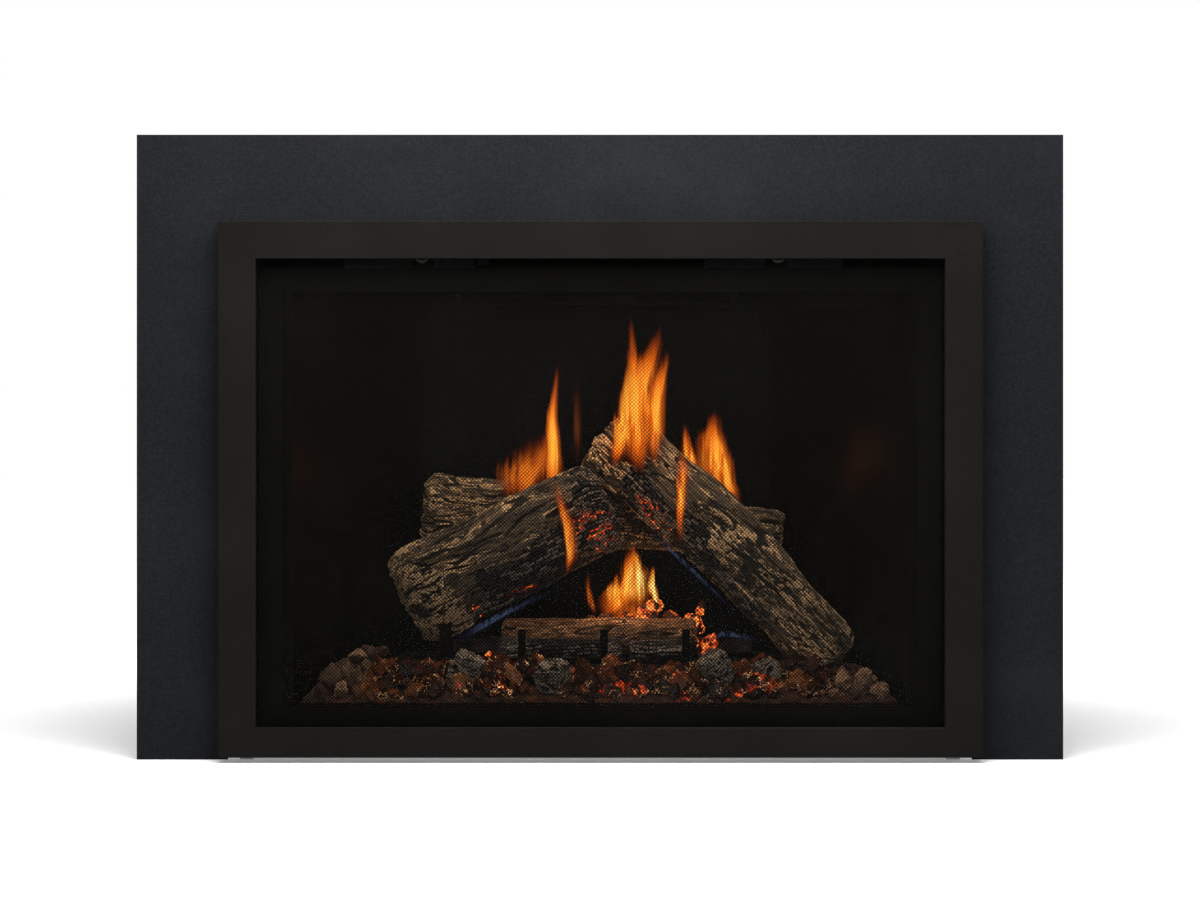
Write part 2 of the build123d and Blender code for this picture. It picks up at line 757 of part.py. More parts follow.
shutter_y = (mixer_front_y + 4, mixer_front_y + 4 + shutter_len)
with BuildPart() as air_shutter:
    rod_y(riser_x, shutter_y, mixer_z, mixer_r + run_clear + shutter_wall)
    ear_y = (shutter_y[1] - 3, shutter_y[1])
    block((riser_x - 4, riser_x + 4), ear_y, (shutter_rod_z - 3, mixer_z))
    wide_bore = (shutter_y[0] - 1, shutter_y[1] + 1)
    rod_y(riser_x, wide_bore, mixer_z, mixer_r + run_clear, Mode.SUBTRACT)
    rod_front = y_fire + 8
    rod_y(riser_x, (rod_front, ear_y[1]), shutter_rod_z, shutter_rod_r)
    rod_y(riser_x, (rod_front - 10, rod_front), shutter_rod_z, shutter_knob_r)
finish(air_shutter, "air_shutter")

pilot_x = -60.0
pilot_y = (burner_front_y + burner_rear_y) / 2
with BuildPart() as pilot_burner:
    block((pilot_x - 14, pilot_x + 14), (pilot_y - 7, pilot_y + 7), (tray_z, tray_z + 2))
    rod_z(pilot_x, pilot_y, (tray_z, tray_z + 24), 5)
    block((pilot_x - 6, pilot_x + 6), (pilot_y - 6, pilot_y + 6), (tray_z + 24, tray_z + 27))
    for dx, tall in ((-10, 30), (10, 34)):
        rod_z(pilot_x + dx, pilot_y, (tray_z, tray_z + tall), 2.2)
finish(pilot_burner, "pilot_burner")

with BuildPart() as grate:
    bar_z = (grate_z, grate_top)
    front_ys = (grate_front_y, grate_front_y + grate_bar)
    block((-grate_half, grate_half), front_ys, bar_z)
    block((-grate_half, grate_half), (bed_back_y - grate_bar, bed_back_y), bar_z)
    for x in grate_prongs_x:
        half = grate_prong_w / 2
        block((x - half, x + half), (grate_front_y, bed_back_y), bar_z)
        block((x - half, x + half), front_ys, (grate_z, grate_prong_top))
    post_x = (grate_post_x - 7, grate_post_x + 7)
    block(post_x, (grate_front_y, bed_back_y), bar_z)
    block(post_x, (grate_front_y + 12, grate_front_y + 18), (grate_z, left_log_low[2]))
    block(post_x, (bed_back_y - 12, bed_back_y - 6), (grate_z, left_log_low[2]))
    lowered = Location((0, 0, -seat_gap))
    for log in (log_front_left, log_front_right):
        add(log.part.moved(lowered), mode=Mode.SUBTRACT)
finish(grate, "grate")

# Three logs lie on the grate's bars, each notched where it is seated.
middle_logs = (
    ("log_middle_upper", (-114, 117), bed_back_y - 24, 20.0, 43, 40, 0.9),
    ("log_middle_left", (-116, 27), bed_back_y - 58, 9.0, 22, 22, 2.2),
    ("log_middle_right", (36, 99), bed_back_y - 58, 8.0, 20, 22, 4.0),
)
for log_name, ends, y, rise, thick, deep, lean in middle_logs:
    z = grate_top + rise
    with BuildPart() as middle_log:
        add(log_form((ends[0], y, z), (ends[1], y, z + 1), thick, deep, lean))
        add(grate.part.moved(Location((0, 0, seat_gap))), mode=Mode.SUBTRACT)
    finish(middle_log, log_name)

# ================================================================== ember bed and loose media
slope_top = (y_slope_back, bed_z)
slope_foot = (y_tray_lip, tray_lip_z + bed_thick)
with BuildPart() as ember_bed:
    with BuildSketch(Plane.YZ):
        Polygon(
            (y_tray_lip, tray_lip_z),
            (y_slope_back, tray_z),
            (bed_back_y, tray_z),
            (bed_back_y, bed_z),
            slope_top,
            slope_foot,
        )
    extrude(amount=case_half, both=True)
    with BuildSketch():
        Polygon(*fire_plan(-2 * tray_side_gap, y_fire, bed_back_y))
    extrude(amount=case_roof, mode=Mode.INTERSECT)
finish(ember_bed, "ember_bed")

slope_len = hypot(slope_top[0] - slope_foot[0], slope_top[1] - slope_foot[1])
slope_y = (slope_top[0] - slope_foot[0]) / slope_len
slope_z = (slope_top[1] - slope_foot[1]) / slope_len


def on_slope(x, along, turn, sink=0.0):
    """A place on the bed's slope, standing square to it and turned about its normal."""
    spin = radians(turn)
    origin = (
        x,
        slope_foot[0] + slope_y * along + slope_z * sink,
        slope_foot[1] + slope_z * along - slope_y * sink,
    )
    x_dir = (cos(spin), sin(spin) * slope_y, sin(spin) * slope_z)
    return Location(Plane(origin=origin, x_dir=x_dir, z_dir=(0, -slope_z, slope_y)))


def stone(radius, tall, corners, narrow):
    """A faceted lump: a belly between a smaller foot and a smaller crown."""
    with BuildPart(mode=Mode.PRIVATE) as lump:
        for level, grow in ((0, 0.72), (0.45, 1.0), (1, narrow)):
            with BuildSketch(Plane.XY.offset(level * tall)):
                RegularPolygon(radius * grow, corners, rotation=40 * level)
        loft(ruled=True)
    return lump.part


# Bark-textured chunks lie on the slope among the glass.
chunk_places = ((-152.0, 46.0, 24.0), (-53.0, 32.0, 22.0), (133.0, 40.0, 27.0), (194.0, 46.0, 17.0))
with BuildPart() as char_chunks:
    for n, (x, along, size) in enumerate(chunk_places):
        with Locations(on_slope(x, along, 35 * n, -seat_gap)):
            add(stone(size, 1.35 * size, 6, 0.7))
finish(char_chunks, "char_chunks")


def near_chunk(x, along, reach):
    """Whether a place on the slope lies within reach of a chunk's edge."""
    return any(hypot(x - cx, along - ca) < size + reach for cx, ca, size in chunk_places)


chip_pitch = 17.0
chip_rows = 4
chip_r = 7.0
chip_reach = (grate_front_y - chip_r - 3 - slope_foot[0]) / slope_y
chip_places = [[], [], []]
for row in range(chip_rows):
    along = 8 + row * (chip_reach - 8) / (chip_rows - 1)
    reach = fire_half(slope_foot[0] + along) - 62
    count = int(2 * reach / chip_pitch)
    for n in range(count):
        x = (n - (count - 1) / 2) * chip_pitch + 4 * sin(5.1 * row + 2.3 * n)
        if not near_chunk(x, along, chip_r + 1):
            chip_places[(n + row) % 3].append(on_slope(x, along, 53 * n + 31 * row))
with BuildPart() as glass_chips:
    for places, (size, tall, corners) in zip(chip_places, ((6.2, 6, 5), (5.4, 8, 6), (6.6, 5, 7))):
        with Locations(*places):
            add(stone(size, tall, corners, 0.55), clean=False)
finish(glass_chips, "glass_chips")

rock_rows = ((10.0, 11.0), (32.0, 13.0), (56.0, 12.0))
with BuildPart() as rocks:
    for side, rows in ((-1, rock_rows), (1, rock_rows[:2])):
        for row, (along, size) in enumerate(rows):
            y = slope_foot[0] + slope_y * along
            for n in range(2):
                x = side * (fire_half(y + size) - 18 - n * 25 - 3 * row)
                with Locations(on_slope(x, along, 50 * n + 20 * row)):
                    add(stone(size - 2 * n, 1.5 * size, 6 + n, 0.6))
    for n in range(3):
        y = y_slope_back + 16 + 24 * n
        with Locations(Location((17 - fire_half(y + 12), y, bed_z), (0, 0, 70 * n))):
            add(stone(12 - n, 17, 7, 0.6))
finish(rocks, "rocks")

# ================================================================== glass front
with BuildPart() as glass_frame:
    with BuildSketch(upright(y_glass + glass_sheet)):
        window(glass_half, glass_frame_bottom, glass_frame_top)
        for side in (-1, 1):
            tab_top = latch_z + lug_half
            with Locations((side * latch_x, (glass_frame_top + tab_top) / 2)):
                Rectangle(2 * lug_half, tab_top - glass_frame_top)
            with Locations((side * latch_x, latch_z)):
                Circle(latch_stud_r + 2 * screw_clear, mode=Mode.SUBTRACT)
        window(sight_half, sight_bottom, sight_top, Mode.SUBTRACT)
    extrude(amount=glass_sheet)
    y_return = y_glass + glass_frame_depth
    with BuildSketch(upright(y_return)):
        window(glass_half, glass_frame_bottom, glass_frame_top)
        window(
            glass_half - glass_sheet,
            glass_frame_bottom + glass_sheet,
            glass_frame_top - glass_sheet,
            Mode.SUBTRACT,
        )
    extrude(amount=glass_frame_depth)
    clip_y = (y_flange, y_flange + clip_thick)
    reach = pane_half + 0.5
    for side in (-1, 1):
        for z in (0.25, 0.5, 0.75):
            middle = glass_frame_bottom + z * (glass_frame_top - glass_frame_bottom)
            edge = (side * glass_half, side * (glass_half - glass_sheet))
            tall = (middle - clip_w / 2, middle + clip_w / 2)
            block(edge, (y_glass, clip_y[1]), tall)
            block((side * glass_half, side * reach), clip_y, tall)
    for x in (-0.6, 0.0, 0.6):
        wide = (x * glass_half - clip_w / 2, x * glass_half + clip_w / 2)
        for edge, inward, tip in (
            (glass_frame_bottom, glass_sheet, pane_bottom - 0.5),
            (glass_frame_top, -glass_sheet, pane_top + 0.5),
        ):
            block(wide, (y_glass, clip_y[1]), sorted((edge, edge + inward)))
            block(wide, clip_y, sorted((edge, tip)))
finish(glass_frame, "glass_frame")

with BuildPart() as glass_pane:
    pane_y = y_gasket + (gasket_thick - pane_thick) / 2
    with BuildSketch(upright(pane_y + pane_thick)):
        window(pane_half, pane_bottom, pane_top)
    extrude(amount=pane_thick)
finish(glass_pane, "glass_pane")

with BuildPart() as glass_gasket:
    with BuildSketch(upright(y_flange)):
        window(pane_half + 4, pane_bottom - 4, pane_top + 4)
        window(
            sight_half + gasket_in,
            sight_bottom - gasket_in,
            sight_top + gasket_in,
            Mode.SUBTRACT,
        )
    extrude(amount=gasket_thick)
    add(glass_pane.part, mode=Mode.SUBTRACT)
finish(glass_gasket, "glass_gasket")

# Quarter-turn latches on the studs over the glass, each bearing on a coil spring.
latch_back = y_flange - latch_stud_len + 2.3 + latch_disc_h
for hand, side in (("left", -1), ("right", 1)):
    with BuildPart() as latch:
        span = (latch_back - latch_disc_h, latch_back)
        rod_y(side * latch_x, span, latch_z, latch_disc_r)
        arm_x = (side * latch_x - latch_arm_w / 2, side * latch_x + latch_arm_w / 2)
        block(arm_x, (span[0], span[0] + 3), (latch_z, latch_z + latch_arm))
        bore = (span[0] - 1, span[1] + 1)
        rod_y(side * latch_x, bore, latch_z, latch_stud_r + run_clear, Mode.SUBTRACT)
    finish(latch, f"latch_{hand}")

spring_len = y_glass - latch_back - 2 * seat_gap
spring_pitch = (spring_len - 2 * spring_wire_r) / spring_turns
with BuildPart() as latch_springs:
    for side in (-1, 1):
        base = (side * latch_x, y_glass - seat_gap - spring_wire_r, latch_z)
        with BuildLine() as coil:
            Helix(spring_pitch, spring_len - 2 * spring_wire_r, spring_mean_r, base, (0, -1, 0))
        with BuildSketch(Plane(origin=coil.line @ 0, z_dir=coil.line % 0)):
            Circle(spring_wire_r)
        sweep(is_frenet=True)
finish(latch_springs, "latch_springs")
print("latch spring gap between curls", round(spring_pitch - 2 * spring_wire_r, 2))

# ================================================================== front frame and screen
with BuildPart() as front_frame:
    with BuildSketch(upright(y_front + frame_plate)):
        window(frame_half, frame_bottom, frame_top)
        window(open_half, open_bottom, open_top, Mode.SUBTRACT)
    extrude(amount=frame_plate)
    with BuildSketch(upright(y_front + frame_depth)):
        window(frame_half, frame_bottom, frame_top)
        window(
            frame_half - frame_lip,
            frame_bottom + frame_lip,
            frame_top - frame_lip,
            Mode.SUBTRACT,
        )
    extrude(amount=frame_depth)
    with BuildSketch(upright(y_front + frame_lip_depth)):
        window(open_half + frame_lip, open_bottom - frame_lip, open_top + frame_lip)
        window(open_half, open_bottom, open_top, Mode.SUBTRACT)
    extrude(amount=frame_lip_depth)
    y_rail_back = y_case + case_sheet
    for side in (-1, 1):
        thick = (side * (slot_x - hook_thick / 2), side * (slot_x + hook_thick / 2))
        lip_y = (y_rail_back + hook_play, y_rail_back + hook_play + hook_thick)
        for z in hook_heights:
            block(thick, (y_front + frame_plate, lip_y[1]), (z, z + hook_tall))
            block(thick, lip_y, (z - hook_drop, z))
    fillet(front_frame.edges().filter_by_position(Axis.Y, y_front, y_front), frame_edge_r)
finish(front_frame, "front_frame")

mesh_y = y_front + frame_lip_depth
with BuildPart() as mesh_screen:
    with BuildSketch(upright(mesh_y + mesh_thick)):
        window(open_half + mesh_lap, open_bottom - mesh_lap, open_top + mesh_lap)
        middle = (0, (open_bottom + open_top) / 2)
        columns = int(2 * open_half / mesh_pitch)
        rows = int((open_top - open_bottom) / mesh_pitch)
        with Locations(middle):
            with GridLocations(mesh_pitch, mesh_pitch, columns, rows):
                Rectangle(mesh_hole, mesh_hole, rotation=45, mode=Mode.SUBTRACT)
            with GridLocations(mesh_pitch, mesh_pitch, columns - 1, rows - 1):
                Rectangle(mesh_hole, mesh_hole, rotation=45, mode=Mode.SUBTRACT)
    extrude(amount=mesh_thick)
finish(mesh_screen, "mesh_screen")

# ================================================================== surround
y_return_back = y_surround + surround_return


def surround_studs(side, heights):
    """Weld studs on the back of a surround panel."""
    for z in heights:
        rod_y(side * stud_x, (y_case, y_case + surround_stud_len), z, surround_stud_r)


top_stud_z = surround_open_top + rail_rise / 2
with BuildPart() as surround_top:
    block((-surround_half, surround_half), (y_surround, y_case), (surround_open_top, surround_h))
    edge_z = (surround_h - surround_sheet, surround_h)
    block((-surround_half, surround_half), (y_surround, y_return_back), edge_z)
    for side in (-1, 1):
        edge_x = (side * surround_half, side * (surround_half - surround_sheet))
        block(edge_x, (y_surround, y_return_back), (surround_open_top, surround_h))
        surround_studs(side, (top_stud_z,))
finish(surround_top, "surround_top")

for hand, side in (("left", -1), ("right", 1)):
    with BuildPart() as panel:
        wide = (side * surround_open_half, side * surround_half)
        block(wide, (y_surround, y_case), (0, surround_open_top))
        edge_x = (side * surround_half, side * (surround_half - surround_sheet))
        block(edge_x, (y_surround, y_return_back), (0, surround_open_top))
        foot_x = (side * (rail_half + 2), side * surround_half)
        block(foot_x, (y_surround, y_return_back), (0, surround_sheet))
        surround_studs(side, surround_stud_heights)
    finish(panel, f"surround_{hand}")

with BuildPart() as surround_nuts:
    nut_back = y_case + case_sheet
    with BuildSketch(upright(nut_back + 4)):
        with GridLocations(2 * stud_x, 0, 2, 1):
            for z in surround_stud_heights + (top_stud_z,):
                with Locations((0, z)):
                    RegularPolygon(4.6, 6)
                    Circle(surround_stud_r + run_clear, mode=Mode.SUBTRACT)
    extrude(amount=4)
finish(surround_nuts, "surround_nuts")

# ================================================================== gas valve and line
valve_xs = (valve_x - valve_w / 2, valve_x + valve_w / 2)
valve_ys = (valve_front_y, valve_front_y + valve_deep)
knob_z = case_floor + valve_h / 2
knob_places = (("gas_knob", valve_x - 25, gas_knob_r), ("flame_knob", valve_x + 25, flame_knob_r))
with BuildPart() as gas_valve:
    block(valve_xs, valve_ys, (case_floor, case_floor + valve_h))
    fillet(gas_valve.edges().filter_by(Axis.Z), 6)
    for _, x, r in knob_places:
        rod_y(x, (valve_front_y - knob_len, valve_front_y), knob_z, knob_stub_r)
    rod_x((valve_xs[1], valve_xs[1] + 6), gas_pipe_y, gas_pipe_z, gas_pipe_r + 3)
finish(gas_valve, "gas_valve")

for knob_name, x, r in knob_places:
    with BuildPart() as knob:
        back = valve_front_y - 1
        with BuildSketch(upright(back)):
            with Locations((x, knob_z)):
                Circle(r)
                with PolarLocations(r, 10):
                    Circle(1.2, mode=Mode.SUBTRACT)
        extrude(amount=knob_len + 2)
        knob_face = back - knob_len - 2
        block((x - 1.5, x + 1.5), (knob_face - 2, knob_face), (knob_z, knob_z + r - 2))
        bore = (valve_front_y - knob_len - pass_clear, valve_front_y)
        rod_y(x, bore, knob_z, knob_stub_r + run_clear, Mode.SUBTRACT)
    finish(knob, knob_name)

# Inlet coupling through the right side, pipe to the valve, burner pipe and orifice block.
with BuildPart() as gas_line:
    coupling_end = case_half + gas_inlet_deep
    with BuildSketch(Plane.YZ.offset(case_half - 10)):
        with Locations((gas_pipe_y, gas_pipe_z)):
            RegularPolygon(gas_hex_r, 6)
    extrude(amount=coupling_end - case_half + 10)
    rod_x((valve_xs[1] + 6, case_half - 10), gas_pipe_y, gas_pipe_z, gas_pipe_r)
    bore = (coupling_end - gas_inlet_deep, coupling_end + 1)
    rod_x(bore, gas_pipe_y, gas_pipe_z, gas_inlet_r, Mode.SUBTRACT)
    rod_x((valve_xs[1], riser_x - 8), orifice_y, mixer_z, 4)
    block((riser_x - 8, riser_x + 8), (orifice_y - 8, orifice_y + 8), (mixer_z - 8, mixer_z + 8))
    rod_y(riser_x, (orifice_y + 8, mixer_front_y - 4), mixer_z, 4)
finish(gas_line, "gas_line")

# ================================================================== control box
box_xs = (box_x - box_w / 2, box_x + box_w / 2)
box_ys = (box_front_y, box_front_y + box_deep)
box_mid_z = case_floor + box_h / 2
rocker_x = box_x - box_w / 4
fan_knob_x = box_x + box_w / 4
rocker_back = box_front_y + rocker_thick - 2
with BuildPart() as control_box:
    block(box_xs, box_ys, (case_floor, case_floor + box_h))
    hollow_x = (box_xs[0] + box_wall, box_xs[1] - box_wall)
    hollow_z = (case_floor + box_wall, case_floor + box_h - box_wall)
    block(hollow_x, (box_ys[0] + 12, box_ys[1] - box_wall), hollow_z, Mode.SUBTRACT)
    pocket_x = (rocker_x - rocker_w / 2 - 1, rocker_x + rocker_w / 2 + 1)
    pocket_z = (box_mid_z - rocker_h / 2 - 0.4, box_mid_z + rocker_h / 2 + 0.4)
    block(pocket_x, (box_front_y - 1, rocker_back + 3), pocket_z, Mode.SUBTRACT)
    pin_bore = (box_mid_z - rocker_h / 2 - 2, box_mid_z + rocker_h / 2 + 2)
    pin_y = box_front_y + 2
    rod_z(rocker_x, pin_y, pin_bore, rocker_pin_r + run_clear, Mode.SUBTRACT)
    rod_y(fan_knob_x, (box_front_y - 8, box_front_y), box_mid_z, 2)
finish(control_box, "control_box")

with BuildPart() as rocker_switch:
    with BuildSketch(Plane.XY.offset(box_mid_z - rocker_h / 2)):
        Polygon(
            (rocker_x - rocker_w / 2, box_front_y - 2.5),
            (rocker_x, box_front_y - 0.8),
            (rocker_x + rocker_w / 2, box_front_y - 2.5),
            (rocker_x + rocker_w / 2 - 1, box_front_y + 1.5),
            (rocker_x, rocker_back),
            (rocker_x - rocker_w / 2 + 1, box_front_y + 1.5),
        )
    extrude(amount=rocker_h)
    rod_z(rocker_x, pin_y, (pin_bore[0] + 0.5, pin_bore[1] - 0.5), rocker_pin_r)
finish(rocker_switch, "rocker_switch")

with BuildPart() as speed_knob:
    rod_y(fan_knob_x, (box_front_y - 11, box_front_y - 1), box_mid_z, fan_knob_r)
    block(
        (fan_knob_x - 1, fan_knob_x + 1),
        (box_front_y - 12, box_front_y - 11),
        (box_mid_z, box_mid_z + fan_knob_r - 1),
    )
    rod_y(fan_knob_x, (box_front_y - 8.3, box_front_y), box_mid_z, 2 + run_clear, Mode.SUBTRACT)
finish(speed_knob, "speed_knob")

# ================================================================== blower
blower_half = blower_len / 2
blower_ys = (blower_y - blower_box / 2, blower_y + blower_box / 2)
blower_top = case_floor + blower_box_h
with BuildPart() as blower_housing:
    block((-blower_half, blower_half), blower_ys, (case_floor, blower_top))
    inner_x = (-blower_half + blower_sheet, blower_half - blower_sheet)
    inner_y = (blower_ys[0] + blower_sheet, blower_ys[1] - blower_sheet)
    block(inner_x, inner_y, (case_floor + blower_sheet, blower_top - blower_sheet), Mode.SUBTRACT)
    mouth_x = (-blower_half + 12, blower_half - 12)
    block(mouth_x, (blower_y, blower_y + 32), (blower_top - 3, blower_top + 1), Mode.SUBTRACT)
    block(mouth_x, (blower_ys[0] - 1, blower_ys[0] + 3), (26, 80), Mode.SUBTRACT)
    bearing = (-blower_half - 1, blower_half + 1)
    rod_x(bearing, blower_y, blower_z, rotor_shaft_r + run_clear, Mode.SUBTRACT)
finish(blower_housing, "blower_housing")

with BuildPart() as blower_rotor:
    rotor_half = blower_half - 6
    rod_x((-blower_half - 4, blower_half + 34), blower_y, blower_z, rotor_shaft_r)
    for x in (-rotor_half, 0, rotor_half):
        rod_x((x - 1, x + 1), blower_y, blower_z, rotor_r)
    wheel_axis = Plane(origin=(-rotor_half, blower_y, blower_z), x_dir=(0, 1, 0), z_dir=(1, 0, 0))
    with BuildSketch(wheel_axis):
        with PolarLocations(rotor_r - rotor_blade / 2, rotor_blades):
            Rectangle(rotor_blade, 1.2, rotation=35)
    extrude(amount=2 * rotor_half)
finish(blower_rotor, "blower_rotor")

with BuildPart() as blower_motor:
    motor_x = (blower_half + 4, blower_half + 4 + motor_len)
    rod_x(motor_x, blower_y, blower_z, motor_r)
    block((motor_x[0] + 6, motor_x[1] - 6), (blower_y - 20, blower_y + 20), (case_floor, blower_z))
    bore = (motor_x[0] - 1, blower_half + 36)
    rod_x(bore, blower_y, blower_z, rotor_shaft_r + run_clear, Mode.SUBTRACT)
finish(blower_motor, "blower_motor")
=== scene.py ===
"""Dresses the gas fireplace insert: finishes, carved logs, loose media, fire and studio.

Everything is in metres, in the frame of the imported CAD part: X to the viewer's right, -Y out of
the front, Z up from the hearth.
"""

import logging
import math
from dataclasses import dataclass, field
from enum import Enum

import bmesh
import bpy
import numpy as np
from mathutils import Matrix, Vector


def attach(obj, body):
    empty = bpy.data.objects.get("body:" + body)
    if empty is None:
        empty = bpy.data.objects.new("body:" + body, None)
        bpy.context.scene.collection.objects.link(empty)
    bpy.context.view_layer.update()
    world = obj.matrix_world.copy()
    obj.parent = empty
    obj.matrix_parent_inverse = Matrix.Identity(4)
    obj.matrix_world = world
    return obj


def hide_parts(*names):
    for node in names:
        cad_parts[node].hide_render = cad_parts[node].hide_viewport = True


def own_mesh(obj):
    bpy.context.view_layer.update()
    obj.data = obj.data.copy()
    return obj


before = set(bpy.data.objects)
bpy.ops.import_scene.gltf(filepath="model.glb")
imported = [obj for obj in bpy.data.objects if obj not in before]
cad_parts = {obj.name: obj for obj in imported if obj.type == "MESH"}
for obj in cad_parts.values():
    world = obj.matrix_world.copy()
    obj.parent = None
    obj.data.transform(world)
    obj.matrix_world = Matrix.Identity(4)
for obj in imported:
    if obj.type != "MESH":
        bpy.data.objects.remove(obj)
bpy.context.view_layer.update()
LOGGER = logging.getLogger("fireplace_insert")
Array = np.ndarray
Dice = np.random.Generator
Piece = bpy.types.Object
Material = bpy.types.Material
Socket = bpy.types.NodeSocket
Triple = tuple[float, float, float]
Faces = list[tuple[int, ...]]
Feeds = dict[str | int, object]
BLACK: Triple = (0.0, 0.0, 0.0)
WHITE: Triple = (1.0, 1.0, 1.0)
FIXED_BODY, FRONT_BODY = "insert", "front"


# ---------------------------------------------------------------- noise for carving


class NoiseField:
    """Seeded smooth noise and cell patterns over points in space, repeating every SIDE cells.

    A number that is added to the points only says where in the noise a pattern is read, so that
    patterns of one piece don't follow each other.
    """

    SIDE = 64

    def __init__(self, seed: int) -> None:
        """Fills the lattice.

        Args:
            seed: number that fixes every value.
        """
        rng = np.random.default_rng(seed)
        self.values = rng.random((self.SIDE,) * 3)
        self.sites = rng.random((self.SIDE,) * 3 + (3,))

    def smooth(self, points: Array) -> Array:
        """Smooth noise.

        Args:
            points: N by 3 places, one cell apart per unit.

        Returns:
            N values from 0 to 1.
        """
        cell = np.floor(points).astype(int)
        part = points - cell
        part = part * part * (3 - 2 * part)
        total = np.zeros(len(points))
        for corner in np.ndindex(2, 2, 2):
            weight = np.prod(np.where(np.array(corner) == 1, part, 1 - part), axis=1)
            at = (cell + corner) % self.SIDE
            total += weight * self.values[at[:, 0], at[:, 1], at[:, 2]]
        return total

    def layered(self, points: Array, layers: int = 3, gain: float = 0.5) -> Array:
        """Sum of smooth noise at doubling frequencies, still from 0 to 1.

        Args:
            points: N by 3 places.
            layers: how many frequencies are added.
            gain: strength of each against the one before.

        Returns:
            N values from 0 to 1.
        """
        total, weight, reach = np.zeros(len(points)), 1.0, 0.0
        for layer in range(layers):
            total += weight * self.smooth(points * 2**layer + 17.3 * layer)
            reach += weight
            weight *= gain
        return total / reach

    def cells(self, points: Array, jitter: float = 0.8) -> tuple[Array, Array]:
        """Distances to the nearest and second nearest scattered sites.

        Args:
            points: N by 3 places.
            jitter: how far a site strays from its cell's middle, 0 to 1.

        Returns:
            The nearest and the second nearest distance, N values each.
        """
        cell = np.floor(points).astype(int)
        near = np.full(len(points), 9.0)
        second = near.copy()
        for step in np.ndindex(3, 3, 3):
            at = cell + np.array(step) - 1
            wrapped = at % self.SIDE
            site = self.sites[wrapped[:, 0], wrapped[:, 1], wrapped[:, 2]]
            away = np.linalg.norm(at + 0.5 + (site - 0.5) * jitter - points, axis=1)
            second = np.minimum(second, np.maximum(near, away))
            near = np.minimum(near, away)
        return near, second


def ease(value: Array, low: float, high: float) -> Array:
    """Smooth step of value, 0 at low and 1 at high, which may lie below low."""
    t = np.clip((value - low) / (high - low), 0.0, 1.0)
    return t * t * (3 - 2 * t)


# ---------------------------------------------------------------- node wiring


